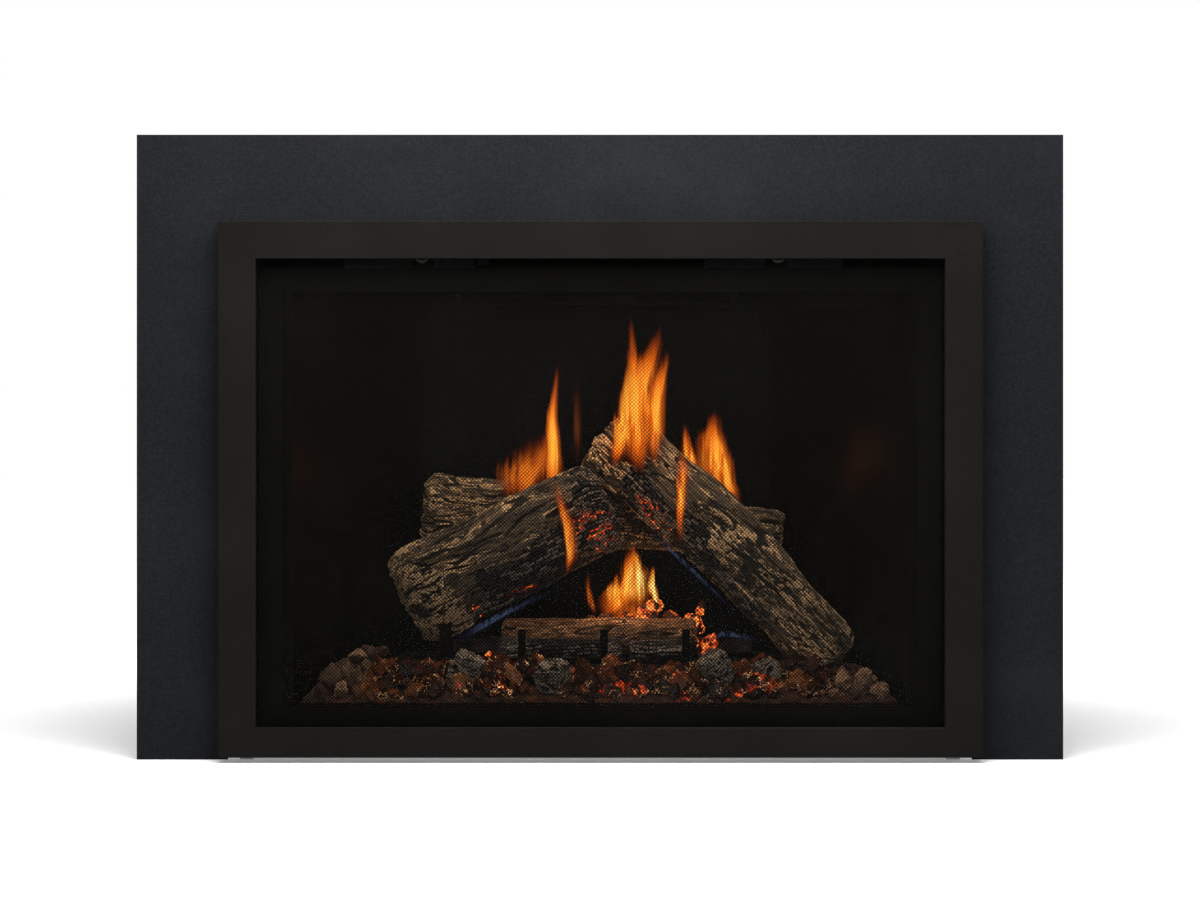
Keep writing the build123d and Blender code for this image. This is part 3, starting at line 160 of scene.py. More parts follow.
class Wiring:
    """Adds shader nodes to one tree and joins them."""

    def __init__(self, tree: bpy.types.NodeTree) -> None:
        """Keeps the tree that gets the nodes."""
        self.tree = tree

    def feed(self, node: bpy.types.Node, feeds: Feeds) -> None:
        """Sets or links a node's inputs.

        Args:
            node: the node.
            feeds: socket name or number to a value, a colour or another node's output.
        """
        for name, value in feeds.items():
            socket = node.inputs[name]
            if isinstance(value, Socket):
                self.tree.links.new(value, socket)
            else:
                socket.default_value = (*value, 1.0) if socket.type == "RGBA" else value

    def put(self, kind: str, feeds: Feeds | None = None, **settings: object) -> bpy.types.Node:
        """Adds one node.

        Args:
            kind: node type without its ShaderNode prefix.
            feeds: what goes into its inputs.
            settings: properties of the node.

        Returns:
            The node.
        """
        node = self.tree.nodes.new("ShaderNode" + kind)
        for name, value in settings.items():
            setattr(node, name, value)
        self.feed(node, feeds or {})
        return node

    def place(self) -> Socket:
        """Object coordinates in metres."""
        return self.put("TexCoord").outputs["Object"]

    def mapped(self, scale: Triple, turn: float = 0.0) -> Socket:
        """Object coordinates stretched by scale and turned about Y by turn radians."""
        feeds = {"Vector": self.place(), "Scale": scale, "Rotation": (0.0, turn, 0.0)}
        return self.put("Mapping", feeds).outputs["Vector"]

    def noise(self, scale: object, detail: float = 3.0, vector: object = None, rough: float = 0.5) -> Socket:
        """Noise of a scale per metre, from 0 to 1."""
        feeds = {"Scale": scale, "Detail": detail, "Roughness": rough, "Vector": vector or self.place()}
        return self.put("TexNoise", feeds).outputs[0]

    def math(self, operation: str, a: object, b: object = 0.0, clamp: bool = False) -> Socket:
        """One Math node."""
        return self.put("Math", {0: a, 1: b}, operation=operation, use_clamp=clamp).outputs[0]

    def times(self, a: object, b: object, clamp: bool = False) -> Socket:
        """The product of a and b."""
        return self.math("MULTIPLY", a, b, clamp)

    def plus(self, a: object, b: object, clamp: bool = False) -> Socket:
        """The sum of a and b."""
        return self.math("ADD", a, b, clamp)

    def off_half(self, a: object) -> Socket:
        """How far a value lies above one half."""
        return self.math("SUBTRACT", a, 0.5)

    def magnitude(self, a: object) -> Socket:
        """A value without its sign."""
        return self.math("ABSOLUTE", a)

    def span(self, value: object, low: float, high: float, out_low: float = 0.0, out_high: float = 1.0) -> Socket:
        """Smooth step of value between low and high onto out_low and out_high."""
        feeds = {"Value": value, "From Min": low, "From Max": high, "To Min": out_low, "To Max": out_high}
        return self.put("MapRange", feeds, interpolation_type="SMOOTHSTEP").outputs[0]

    def mix(self, share: object, a: object, b: object) -> Socket:
        """Colour a going to b by share."""
        return self.put("Mix", {0: share, 6: a, 7: b}, data_type="RGBA", clamp_factor=True).outputs[2]

    def ramp(self, value: object, *stops: tuple[float, Triple]) -> Socket:
        """Colour ramp.

        Args:
            value: what it follows.
            stops: place and colour of each stop.

        Returns:
            The colour.
        """
        node = self.put("ValToRGB", {"Fac": value})
        points = node.color_ramp.elements
        while len(points) < len(stops):
            points.new(0.5)
        for point, (at, colour) in zip(points, stops):
            point.position, point.color = at, (*colour, 1.0)
        return node.outputs["Color"]

    def bump(self, height: object, distance: float) -> Socket:
        """Normal of a bumped surface, distance in metres."""
        return self.put("Bump", {"Height": height, "Distance": distance, "Strength": 1.0}).outputs[0]

    def attribute(self, name: str) -> Socket:
        """Value carved into the mesh under name."""
        return self.put("Attribute", attribute_name=name).outputs["Fac"]

    def lengthwise(self, name: str, scale: Triple) -> Socket:
        """Places kept in the mesh under name, stretched by scale."""
        kept = self.put("Attribute", attribute_name=name).outputs["Vector"]
        return self.put("Mapping", {"Vector": kept, "Scale": scale}).outputs["Vector"]


def wired(owner: Material | bpy.types.World) -> Wiring:
    """Empties the node tree of a material or world.

    Args:
        owner: the material or world.

    Returns:
        The wiring of its tree.
    """
    owner.use_nodes = True
    owner.node_tree.nodes.clear()
    return Wiring(owner.node_tree)


def toned(colour: Triple, share: float, lift: float = 0.0) -> Triple:
    """A colour times share plus lift."""
    return tuple(min(1.0, part * share + lift) for part in colour)


class SharedEffect:
    """A shader node group with named inputs and outputs, built once and placed in many materials."""

    def __init__(self, name: str, inputs: dict[str, float], values: tuple[str, ...], colour: str = "") -> None:
        """Makes the group's sockets.

        Args:
            name: name of the group.
            inputs: name to default of each value that a material sets.
            values: names of the results that are values.
            colour: name of the result that is a colour.
        """
        self.tree = bpy.data.node_groups.new(name, "ShaderNodeTree")
        for label, default in inputs.items():
            socket = self.tree.interface.new_socket(label, in_out="INPUT", socket_type="NodeSocketFloat")
            socket.default_value = default
        for label in values:
            self.tree.interface.new_socket(label, in_out="OUTPUT", socket_type="NodeSocketFloat")
        if colour:
            self.tree.interface.new_socket(colour, in_out="OUTPUT", socket_type="NodeSocketColor")
        self.inside = Wiring(self.tree)
        self.given = self.tree.nodes.new("NodeGroupInput").outputs
        self.result = self.tree.nodes.new("NodeGroupOutput").inputs

    def send(self, **results: Socket) -> None:
        """Joins each result to the output of its name."""
        for label, value in results.items():
            self.tree.links.new(value, self.result[label])

    def placed(self, wiring: Wiring, **values: object) -> dict[str, Socket]:
        """Puts the group in a material.

        Args:
            wiring: the material's wiring.
            values: input values, with _ for a space in their names.

        Returns:
            The outputs by name.
        """
        feeds = {label.replace("_", " "): value for label, value in values.items()}
        node = wiring.put("Group", feeds, node_tree=self.tree)
        return {socket.name: socket for socket in node.outputs}


class Effects:
    """The effects that several finishes share."""

    def __init__(self) -> None:
        """Builds every group."""
        self.powder = self.build_powder()
        self.scuffs = self.build_scuffs()
        self.spangle = self.build_spangle()
        self.tooling = self.build_tooling()
        self.heat = self.build_heat()
        self.mineral = self.build_mineral()
        self.ember = self.build_ember()

    def build_powder(self) -> SharedEffect:
        """Fine orange-peel grain of sprayed paint.

        Returns:
            The effect, with Height, and Fleck for its tone.
        """
        effect = SharedEffect("sprayed paint grain", {"Scale": 900.0}, ("Height", "Fleck"))
        w, scale = effect.inside, effect.given["Scale"]
        fine = w.noise(scale, 2.0)
        broad = w.noise(w.times(scale, 0.22), 3.0)
        effect.send(Height=w.plus(w.times(fine, 0.6), w.times(broad, 0.4)), Fleck=w.span(fine, 0.35, 0.72))
        return effect

    def build_scuffs(self) -> SharedEffect:
        """Cloudy rubs, fine scratches and settled dust.

        Returns:
            The effect, with Rub, Scratch and Dust masks.
        """
        effect = SharedEffect("rubs scratches dust", {"Scale": 1.0, "Amount": 0.5}, ("Rub", "Scratch", "Dust"))
        w, scale, amount = effect.inside, effect.given["Scale"], effect.given["Amount"]
        cloud = w.noise(w.times(scale, 5.0), 5.0, rough=0.62)
        line = w.noise(w.times(scale, 30.0), 2.0, w.mapped((1.0, 1.0, 14.0), 0.6))
        gate = w.span(w.noise(w.times(scale, 9.0), 2.0), 0.52, 0.66)
        thin = w.span(w.magnitude(w.off_half(line)), 0.012, 0.0)
        up = w.put("SeparateXYZ", {0: w.put("NewGeometry").outputs["Normal"]}).outputs["Z"]
        specks = w.span(w.noise(w.times(scale, 260.0), 4.0), 0.45, 0.7)
        effect.send(
            Rub=w.times(w.span(cloud, 0.42, 0.75), amount),
            Scratch=w.times(w.times(thin, gate), amount),
            Dust=w.times(w.times(w.span(up, 0.25, 0.95), specks), amount),
        )
        return effect

    def build_spangle(self) -> SharedEffect:
        """Crystal flakes of hot-dip zinc.

        Returns:
            The effect, with the flakes' Tone from 0 to 1.
        """
        effect = SharedEffect("zinc spangle", {"Scale": 90.0}, ("Tone",))
        w, scale = effect.inside, effect.given["Scale"]
        flake = w.put("TexVoronoi", {"Vector": w.place(), "Scale": scale, "Randomness": 1.0})
        grey = w.put("SeparateColor", {0: flake.outputs["Color"]}).outputs[0]
        streak = w.noise(w.times(scale, 3.2), 3.0)
        effect.send(Tone=w.plus(w.times(grey, 0.7), w.times(streak, 0.3)))
        return effect

    def build_tooling(self) -> SharedEffect:
        """Fine drawn or turned lines along X.

        Returns:
            The effect, with Lines from 0 to 1, and Blotch for handling marks.
        """
        effect = SharedEffect("tool lines", {"Scale": 700.0}, ("Lines", "Blotch"))
        w, scale = effect.inside, effect.given["Scale"]
        blotch = w.span(w.noise(w.times(scale, 0.05), 4.0), 0.35, 0.7)
        effect.send(Lines=w.noise(scale, 3.0, w.mapped((0.02, 1.0, 1.0))), Blotch=blotch)
        return effect

    def build_heat(self) -> SharedEffect:
        """Temper colours and soot of hot steel.

        Returns:
            The effect, with a Tint colour and its Mask.
        """
        effect = SharedEffect("heat tint", {"Amount": 0.5, "Scale": 14.0}, ("Mask",), "Tint")
        w = effect.inside
        cloud = w.noise(effect.given["Scale"], 4.0, rough=0.6)
        straw, bronze, purple, blue = (0.30, 0.20, 0.10), (0.26, 0.12, 0.07), (0.10, 0.08, 0.16), (0.12, 0.13, 0.15)
        tint = w.ramp(cloud, (0.3, straw), (0.45, bronze), (0.58, purple), (0.75, blue))
        effect.send(Tint=tint, Mask=w.times(w.span(cloud, 0.30, 0.62), effect.given["Amount"]))
        return effect

    def build_mineral(self) -> SharedEffect:
        """Grain of cast refractory or stone.

        Returns:
            The effect, with Height, Speck for dark grains and Patch for tone.
        """
        inputs = {"Scale": 700.0, "Patch Scale": 40.0}
        effect = SharedEffect("mineral grain", inputs, ("Height", "Speck", "Patch"))
        w, scale = effect.inside, effect.given["Scale"]
        grain = w.noise(scale, 4.0, rough=0.65)
        speck = w.span(w.noise(w.times(scale, 0.7), 2.0), 0.60, 0.72)
        patch = w.span(w.noise(effect.given["Patch Scale"], 4.0, rough=0.6), 0.34, 0.68)
        effect.send(Height=grain, Speck=speck, Patch=patch)
        return effect

    def build_ember(self) -> SharedEffect:
        """Glow of hot spots.

        Returns:
            The effect, with a Glow mask and its Colour, from dull red to yellow.
        """
        effect = SharedEffect("ember glow", {"Scale": 120.0, "Heat": 0.5}, ("Glow",), "Colour")
        w, heat = effect.inside, effect.given["Heat"]
        spots = w.noise(effect.given["Scale"], 3.0, rough=0.6)
        level = w.plus(spots, w.times(w.off_half(heat), 0.9))
        dull, red, orange, yellow = (0.30, 0.008, 0.002), (0.90, 0.055, 0.008), (1.0, 0.22, 0.03), (1.0, 0.46, 0.11)
        effect.send(
            Glow=w.times(w.span(level, 0.46, 0.82), w.span(heat, 0.0, 0.12)),
            Colour=w.ramp(level, (0.45, dull), (0.62, red), (0.78, orange), (0.95, yellow)),
        )
        return effect


def hot_spots(w: Wiring, fx: Effects, scale: float, strength: float) -> Feeds:
    """Light from a surface's carved heat.

    Args:
        w: the material's wiring.
        fx: the shared effects.
        scale: spots per metre.
        strength: brightness of the hottest.

    Returns:
        The shader's emission values.
    """
    hot = fx.ember.placed(w, Scale=scale, Heat=w.attribute("ember"))
    return {"Emission Color": w.mix(hot["Glow"], BLACK, hot["Colour"]), "Emission Strength": strength}


# ---------------------------------------------------------------- finishes


class MetalPattern(Enum):
    """How a bare metal surface was made."""

    SPANGLE = "hot-dip zinc flakes"
    DRAWN = "drawn or turned"


@dataclass(frozen=True)
class Finish:
    """A named surface finish."""

    name: str

    def recipe(self, w: Wiring, fx: Effects) -> Feeds:
        """What goes into the shader's sockets, made with the wiring w from the shared effects fx."""
        raise NotImplementedError

    def build(self, fx: Effects) -> Material:
        """Makes the material.

        Args:
            fx: the shared effects.

        Returns:
            The material, its recipe on one Principled shader.
        """
        material = bpy.data.materials.new(self.name)
        w = wired(material)
        shader = w.put("BsdfPrincipled", self.recipe(w, fx))
        w.put("OutputMaterial", {"Surface": shader.outputs[0]})
        return material


@dataclass(frozen=True)
class Paint(Finish):
    """Sprayed or baked paint on steel."""

    colour: Triple
    roughness: float = 0.55
    grain: float = 900.0
    depth: float = 0.00006
    scuff: float = 0.4
    dust: float = 0.3
    gloss: float = 0.3
    dust_colour: Triple = (0.16, 0.15, 0.14)

    def recipe(self, w: Wiring, fx: Effects) -> Feeds:
        """Paint with orange peel, cloudy rubs, thin scratches and dust on ledges.

        Args:
            w: the material's wiring.
            fx: the shared effects.

        Returns:
            What goes into the shader's sockets.
        """
        grain = fx.powder.placed(w, Scale=self.grain)
        marks = fx.scuffs.placed(w, Scale=1.0, Amount=self.scuff)
        tone = w.mix(grain["Fleck"], toned(self.colour, 0.55), self.colour)
        tone = w.mix(w.times(marks["Rub"], 0.55), tone, toned(self.colour, 1.7, 0.004))
        tone = w.mix(w.times(marks["Scratch"], 0.5), tone, toned(self.colour, 3, 0.02))
        tone = w.mix(w.times(marks["Dust"], self.dust), tone, self.dust_colour)
        rough = w.plus(w.times(marks["Rub"], -0.12), self.roughness)
        rough = w.plus(rough, w.times(grain["Height"], 0.08), clamp=True)
        normal = w.bump(grain["Height"], self.depth)
        return {"Base Color": tone, "Roughness": rough, "Specular IOR Level": self.gloss, "Normal": normal}


@dataclass(frozen=True)
class BareMetal(Finish):
    """Unpainted sheet, tube, casting or fastener."""

    colour: Triple
    roughness: float = 0.38
    pattern: MetalPattern = MetalPattern.DRAWN
    scale: float = 700.0
    heat: float = 0.0
    depth: float = 0.00003
    dust_colour: Triple = (0.20, 0.19, 0.18)

    def recipe(self, w: Wiring, fx: Effects) -> Feeds:
        """Metal with zinc flakes or tool lines, handling marks and heat tint.

        Args:
            w: the material's wiring.
            fx: the shared effects.

        Returns:
            What goes into the shader's sockets.
        """
        marks = fx.scuffs.placed(w, Scale=1.6, Amount=0.6)
        dull = toned(self.colour, 0.62)
        if self.pattern is MetalPattern.SPANGLE:
            height = spread = fx.spangle.placed(w, Scale=self.scale)["Tone"]
            tone = w.mix(height, dull, self.colour)
        else:
            lines = fx.tooling.placed(w, Scale=self.scale)
            height, spread = lines["Lines"], lines["Blotch"]
            tone = w.mix(w.times(spread, 0.35), w.mix(height, dull, self.colour), dull)
        hot = fx.heat.placed(w, Amount=self.heat, Scale=14.0)
        tone = w.mix(hot["Mask"], tone, hot["Tint"])
        tone = w.mix(w.times(marks["Dust"], 0.35), tone, self.dust_colour)
        rough = w.plus(w.times(spread, 0.18), self.roughness - 0.06)
        rough = w.plus(rough, w.times(marks["Rub"], 0.10), clamp=True)
        metal = w.span(marks["Dust"], 0.9, 0.2, 0.55, 1.0)
        return {"Base Color": tone, "Roughness": rough, "Metallic": metal, "Normal": w.bump(height, self.depth)}


@dataclass(frozen=True)
class CastLog(Finish):
    """Painted ceramic log: carved bark, charred blocks and ember cracks."""

    bark: Triple = (0.105, 0.070, 0.042)
    tan: Triple = (0.54, 0.345, 0.175)
    # Colour of the painted shade in furrows and fine fibre grooves.
    crevice_shade: Triple = (0.010, 0.0072, 0.0052)
    smoke: Triple = (0.040, 0.036, 0.033)
    # The char's low colour is partly painted shade in the cracks between blocks, partly the blocks' own uneven
    # tone.
    char_low: Triple = (0.004, 0.0037, 0.0035)
    char_high: Triple = (0.026, 0.021, 0.018)
    ash: Triple = (0.17, 0.125, 0.09)
    speck: Triple = (0.014, 0.011, 0.009)

    def recipe(self, w: Wiring, fx: Effects) -> Feeds:
        """Colour by the carved height, dry-brush, char and ember values, with fibres along the grain; low places,
        fine grooves and char cracks are darkened as painted shade.

        Args:
            w: the material's wiring.
            fx: the shared effects.

        Returns:
            What goes into the shader's sockets.
        """
        grain = fx.mineral.placed(w, Scale=1100.0, Patch_Scale=34.0)
        height, pale, char = w.attribute("height"), w.attribute("pale"), w.attribute("char")
        fibre = w.noise(1.0, 4.0, w.lengthwise("grain", (46.0, 430.0, 430.0)), 0.66)
        # The ramp darkens the low carved places toward the crevice colour: painted shade in the furrows.
        tone = w.ramp(height, (0.10, self.crevice_shade), (0.42, toned(self.bark, 0.42)), (0.90, self.bark))
        tone = w.mix(w.times(grain["Patch"], 0.4), tone, self.smoke)
        # Dark lines where the fine fibre relief is low: painted shade in its grooves.
        tone = w.mix(w.span(fibre, 0.50, 0.34, 0.0, 0.75), tone, self.crevice_shade)
        brushed = w.span(w.plus(pale, w.times(w.off_half(fibre), 2.2)), 0.26, 0.66, 0.0, 0.9)
        tan = w.mix(grain["Height"], toned(self.tan, 0.62), self.tan)
        # Char blocks go darker where they lie low, most in the cracks between them: painted shade, on top of the
        # blocks' own uneven tone.
        block = w.mix(w.span(height, 0.2, 0.7), self.char_low, self.char_high)
        burnt = w.mix(w.times(brushed, 0.8), block, self.ash)
        tone = w.mix(char, w.mix(brushed, tone, tan), burnt)
        tone = w.mix(w.times(grain["Speck"], 0.35), tone, self.speck)
        relief = w.plus(w.times(fibre, 0.6), w.times(grain["Height"], 0.3))
        return {
            "Base Color": tone, "Roughness": w.span(char, 0.0, 1.0, 0.88, 0.62), "Specular IOR Level": 0.10,
            "Normal": w.bump(relief, 0.0030), **hot_spots(w, fx, 150.0, 1.5),
        }


@dataclass(frozen=True)
class Stone(Finish):
    """River rock, from tan to grey by piece."""

    light: Triple = (0.36, 0.200, 0.108)
    dark: Triple = (0.040, 0.021, 0.013)
    speck: Triple = (0.035, 0.028, 0.022)
    # Colour of the painted shade in the stone's sunken places.
    hollow_shade: Triple = (0.02, 0.015, 0.012)

    def recipe(self, w: Wiring, fx: Effects) -> Feeds:
        """Two tones by patch and by piece, with specks, painted shade in the sunken places, a chalky roughness and
        a faint painted glow near the ember bed.

        Args:
            w: the material's wiring.
            fx: the shared effects.

        Returns:
            What goes into the shader's sockets.
        """
        grain = fx.mineral.placed(w, Scale=620.0, Patch_Scale=26.0)
        own = w.plus(w.times(grain["Patch"], 0.25), w.times(w.attribute("tone"), 0.8), clamp=True)
        tone = w.mix(own, self.dark, self.light)
        tone = w.mix(w.times(grain["Speck"], 0.5), tone, self.speck)
        # Darker where the carved surface sinks: painted shade in the hollows.
        tone = w.mix(w.span(w.attribute("height"), 0.5, 0.1, 0.0, 0.6), tone, self.hollow_shade)
        # The emission is a faint painted glow that stands in for the ember bed's light on the stone.
        return {
            "Base Color": tone, "Roughness": w.span(grain["Patch"], 0.0, 1.0, 0.82, 0.66),
            "Specular IOR Level": 0.08, "Normal": w.bump(grain["Height"], 0.0018), **hot_spots(w, fx, 90.0, 0.8),
        }


@dataclass(frozen=True)
class EmberFibre(Finish):
    """Rock-wool ember bed, rust to black, glowing where it is hot."""

    strength: float = 1.4
    black: Triple = (0.012, 0.008, 0.006)
    rust: Triple = (0.085, 0.030, 0.014)
    fleck: Triple = (0.16, 0.085, 0.045)

    def recipe(self, w: Wiring, fx: Effects) -> Feeds:
        """Fibrous dark rust with glow by the carved heat.

        Args:
            w: the material's wiring.
            fx: the shared effects.

        Returns:
            What goes into the shader's sockets.
        """
        grain = fx.mineral.placed(w, Scale=480.0, Patch_Scale=60.0)
        tone = w.mix(grain["Patch"], self.black, self.rust)
        tone = w.mix(w.times(grain["Speck"], 0.6), tone, self.fleck)
        return {
            "Base Color": tone, "Roughness": w.span(grain["Height"], 0.3, 0.7, 0.95, 0.8),
            "Specular IOR Level": 0.2, "Normal": w.bump(grain["Height"], 0.0016),
            **hot_spots(w, fx, 130.0, self.strength),
        }


@dataclass(frozen=True)
class CrushedGlass(Finish):
    """Amber and copper fire glass, with the fire's light through it and off its edges as painted glow and painted
    glints.
    """

    smoked: Triple = (0.008, 0.003, 0.0015)
    brown: Triple = (0.050, 0.011, 0.0035)
    copper: Triple = (0.15, 0.036, 0.008)
    amber: Triple = (0.28, 0.11, 0.035)
    shade: Triple = (0.018, 0.006, 0.003)
    # The next two colours are painted light: the fire's glow through the glass and the glints off its edges.
    lit: Triple = (0.22, 0.010, 0.002)
    painted_glint: Triple = (1.0, 0.50, 0.20)

    def recipe(self, w: Wiring, fx: Effects) -> Feeds:
        """Deep amber body with glossy facets, painted glints and a painted glow of firelight by the carved heat.

        Args:
            w: the material's wiring.
            fx: the shared effects.

        Returns:
            What goes into the shader's sockets.
        """
        tint, heat = w.attribute("tint"), w.attribute("ember")
        grain = fx.mineral.placed(w, Scale=300.0, Patch_Scale=90.0)
        tone = w.ramp(tint, (0.0, self.smoked), (0.5, self.brown), (0.85, self.copper), (1.0, self.amber))
        tone = w.mix(w.times(grain["Patch"], 0.7), tone, self.shade)
        # Glow and curved glint lines are emission: painted light from the fire, as the glass itself does not glow.
        glow = fx.ember.placed(w, Scale=120.0, Heat=heat)
        curl = w.magnitude(w.off_half(w.noise(150.0, 2.0)))
        painted_glint = w.times(w.span(curl, 0.017, 0.0), w.span(w.noise(58.0, 2.0), 0.54, 0.62))
        painted_glint = w.times(painted_glint, w.span(heat, 0.02, 0.4, 0.45, 1.0))
        lit = w.mix(glow["Glow"], BLACK, w.mix(0.6, glow["Colour"], self.lit))
        return {
            "Base Color": tone, "Roughness": w.span(grain["Height"], 0.3, 0.7, 0.04, 0.12),
            "Specular IOR Level": 0.24, "Normal": w.bump(grain["Height"], 0.0004),
            "Emission Color": w.mix(painted_glint, lit, self.painted_glint), "Emission Strength": 1.9,
        }


@dataclass(frozen=True)
class CeramicGlass(Finish):
    """Clear heat-proof pane with a faint haze of combustion bloom."""

    clear: Triple = (0.012, 0.011, 0.010)
    haze: Triple = (0.05, 0.045, 0.04)

    def recipe(self, w: Wiring, fx: Effects) -> Feeds:
        """Mostly clear, darker and more mirror-like at a glancing view.

        Args:
            w: the material's wiring.
            fx: the shared effects.

        Returns:
            What goes into the shader's sockets.
        """
        rub = fx.scuffs.placed(w, Scale=0.8, Amount=0.5)["Rub"]
        facing = w.put("LayerWeight", {"Blend": 0.25}).outputs["Fresnel"]
        alpha = w.plus(w.plus(w.times(facing, 0.45), 0.018), w.times(rub, 0.02), clamp=True)
        return {
            "Base Color": w.mix(rub, self.clear, self.haze), "Alpha": alpha,
            "Roughness": w.plus(w.times(rub, 0.05), 0.03), "Specular IOR Level": 0.5,
        }


@dataclass(frozen=True)
class RopeGasket(Finish):
    """Braided glass-fibre rope."""

    strand_gap_shade: Triple = (0.018, 0.017, 0.016)
    strand: Triple = (0.11, 0.105, 0.10)
    stain: Triple = (0.05, 0.04, 0.03)

    def recipe(self, w: Wiring, fx: Effects) -> Feeds:
        """Charcoal braid of two crossing strand sets with fine fibre, painted darker between the strands as shade.

        Args:
            w: the material's wiring.
            fx: the shared effects.

        Returns:
            What goes into the shader's sockets.
        """
        strands = []
        for turn in (0.8, -0.8):
            feeds = {"Vector": w.mapped((1.0, 1.0, 1.0), turn), "Scale": 110.0, "Distortion": 1.2}
            strands.append(w.put("TexWave", feeds).outputs[1])
        braid = w.times(*strands)
        fibre = fx.mineral.placed(w, Scale=1400.0, Patch_Scale=60.0)
        # Dark where the braid dips between strands: painted shade.
        tone = w.mix(braid, self.strand_gap_shade, self.strand)
        tone = w.mix(w.times(fibre["Patch"], 0.3), tone, self.stain)
        normal = w.bump(w.plus(braid, w.times(fibre["Height"], 0.25)), 0.0006)
        return {"Base Color": tone, "Roughness": w.span(braid, 0.0, 1.0, 0.95, 0.8), "Normal": normal}


@dataclass(frozen=True)
class MouldedPlastic(Finish):
    """Black moulded knob and rocker plastic."""

    black: Triple = (0.014, 0.014, 0.015)
    polished: Triple = (0.030, 0.030, 0.031)
    dust_colour: Triple = (0.18, 0.17, 0.16)

    def recipe(self, w: Wiring, fx: Effects) -> Feeds:
        """Fine EDM (electrical discharge) texture, polished where fingers touch.

        Args:
            w: the material's wiring.
            fx: the shared effects.

        Returns:
            What goes into the shader's sockets.
        """
        grain = fx.powder.placed(w, Scale=2200.0)
        marks = fx.scuffs.placed(w, Scale=6.0, Amount=0.7)
        tone = w.mix(marks["Rub"], self.black, self.polished)
        tone = w.mix(w.times(marks["Dust"], 0.3), tone, self.dust_colour)
        rough = w.plus(w.times(marks["Rub"], -0.2), 0.5)
        return {"Base Color": tone, "Roughness": rough, "Normal": w.bump(grain["Height"], 0.00005)}


@dataclass(frozen=True)
class FlameFinish(Finish):
    """Burning gas on a thin curved sheet: colour and cover follow the sheet's own values."""

    edge: Triple
    body: Triple
    core: Triple
    strength: float = 1.6
    cover: float = 0.6
    flicker: float = 1.9

    def recipe(self, w: Wiring, fx: Effects) -> Feeds:
        """Emission that fades out at the sides, the foot and the tip, with rising streaks.

        Args:
            w: the material's wiring.
            fx: the shared effects.

        Returns:
            What goes into the shader's sockets.
        """
        across, along = w.attribute("across"), w.attribute("along")
        streak = w.noise(30.0, 4.0, w.mapped((5.5, 2.4, 0.5)), rough=0.62)
        drift = w.times(w.off_half(streak), self.flicker)
        off = w.magnitude(w.plus(across, drift))
        side = w.times(w.span(off, 1.0, 0.18), w.span(w.magnitude(across), 1.0, 0.8))
        foot = w.span(along, 0.0, 0.34)
        tip = w.span(w.plus(along, w.times(drift, 0.25)), 1.0, 0.42)
        level = w.times(w.times(side, w.times(foot, tip)), w.span(streak, 0.32, 0.56, 0.35, 1.0))
        heat = w.times(level, w.plus(w.times(streak, 1.2), 0.30))
        colour = w.ramp(heat, (0.0, self.edge), (0.40, self.body), (0.88, self.core))
        return {
            "Base Color": BLACK, "Specular IOR Level": 0.0, "Roughness": 1.0, "Emission Color": colour,
            "Emission Strength": self.strength, "Alpha": w.times(level, self.cover, clamp=True),
        }


SLOT_FINISHES: tuple[Finish, ...] = (
    Paint("surround_powder_coat", (0.0114, 0.0120, 0.0139), roughness=0.62, grain=560.0, scuff=0.35, gloss=0.035),
    Paint("front_bronze", (0.0080, 0.0075, 0.0065), roughness=0.50, grain=760.0, scuff=0.3, gloss=0.03),
    Paint("screen_wire", (0.0056, 0.0053, 0.0046), roughness=0.6, scuff=0.2, gloss=0.01),
    Paint("glass_trim_black", (0.0056, 0.0054, 0.0046), roughness=0.5, gloss=0.025),
    CeramicGlass("ceramic_glass"),
    RopeGasket("rope_gasket"),
    Paint("liner_gloss_black", (0.0012, 0.0010, 0.0008), 0.16, 300.0, 0.00002, scuff=0.25, dust=0.08, gloss=0.04),
    Paint("firebox_black", (0.0028, 0.0024, 0.0020), 0.7, gloss=0.03, dust_colour=(0.045, 0.036, 0.03)),
    BareMetal("galvanised_sheet", (0.37, 0.38, 0.39), 0.42, MetalPattern.SPANGLE, scale=85.0),
    BareMetal("collar_steel", (0.55, 0.54, 0.52), roughness=0.36, scale=900.0, heat=0.15),
    BareMetal("zinc_fasteners", (0.16, 0.15, 0.135), roughness=0.45, scale=1500.0),
    BareMetal("burner_steel", (0.060, 0.052, 0.045), roughness=0.62, scale=1000.0, heat=0.85),
    CastLog("log_bark"),
    CastLog("char_bark", bark=(0.045, 0.037, 0.031), tan=(0.42, 0.33, 0.24)),
    # The split log's darker furrow colour is painted shade too.
    CastLog("split_log", bark=(0.26, 0.120, 0.050), tan=(0.56, 0.28, 0.12), crevice_shade=(0.020, 0.010, 0.006)),
    EmberFibre("ember_fibre"),
    CrushedGlass("amber_glass"),
    Stone("river_rock"),
    BareMetal("valve_alloy", (0.42, 0.41, 0.40), roughness=0.5, scale=500.0, depth=0.00008),
    BareMetal("brass_pipe", (0.56, 0.40, 0.16), roughness=0.3, scale=1100.0),
    MouldedPlastic("knob_plastic"),
    Paint("box_paint", (0.020, 0.020, 0.021), roughness=0.5, gloss=0.3),
    Paint("motor_paint", (0.030, 0.034, 0.040), roughness=0.48, gloss=0.35),
    BareMetal("rotor_alloy", (0.60, 0.60, 0.61), roughness=0.35, scale=1300.0),
)
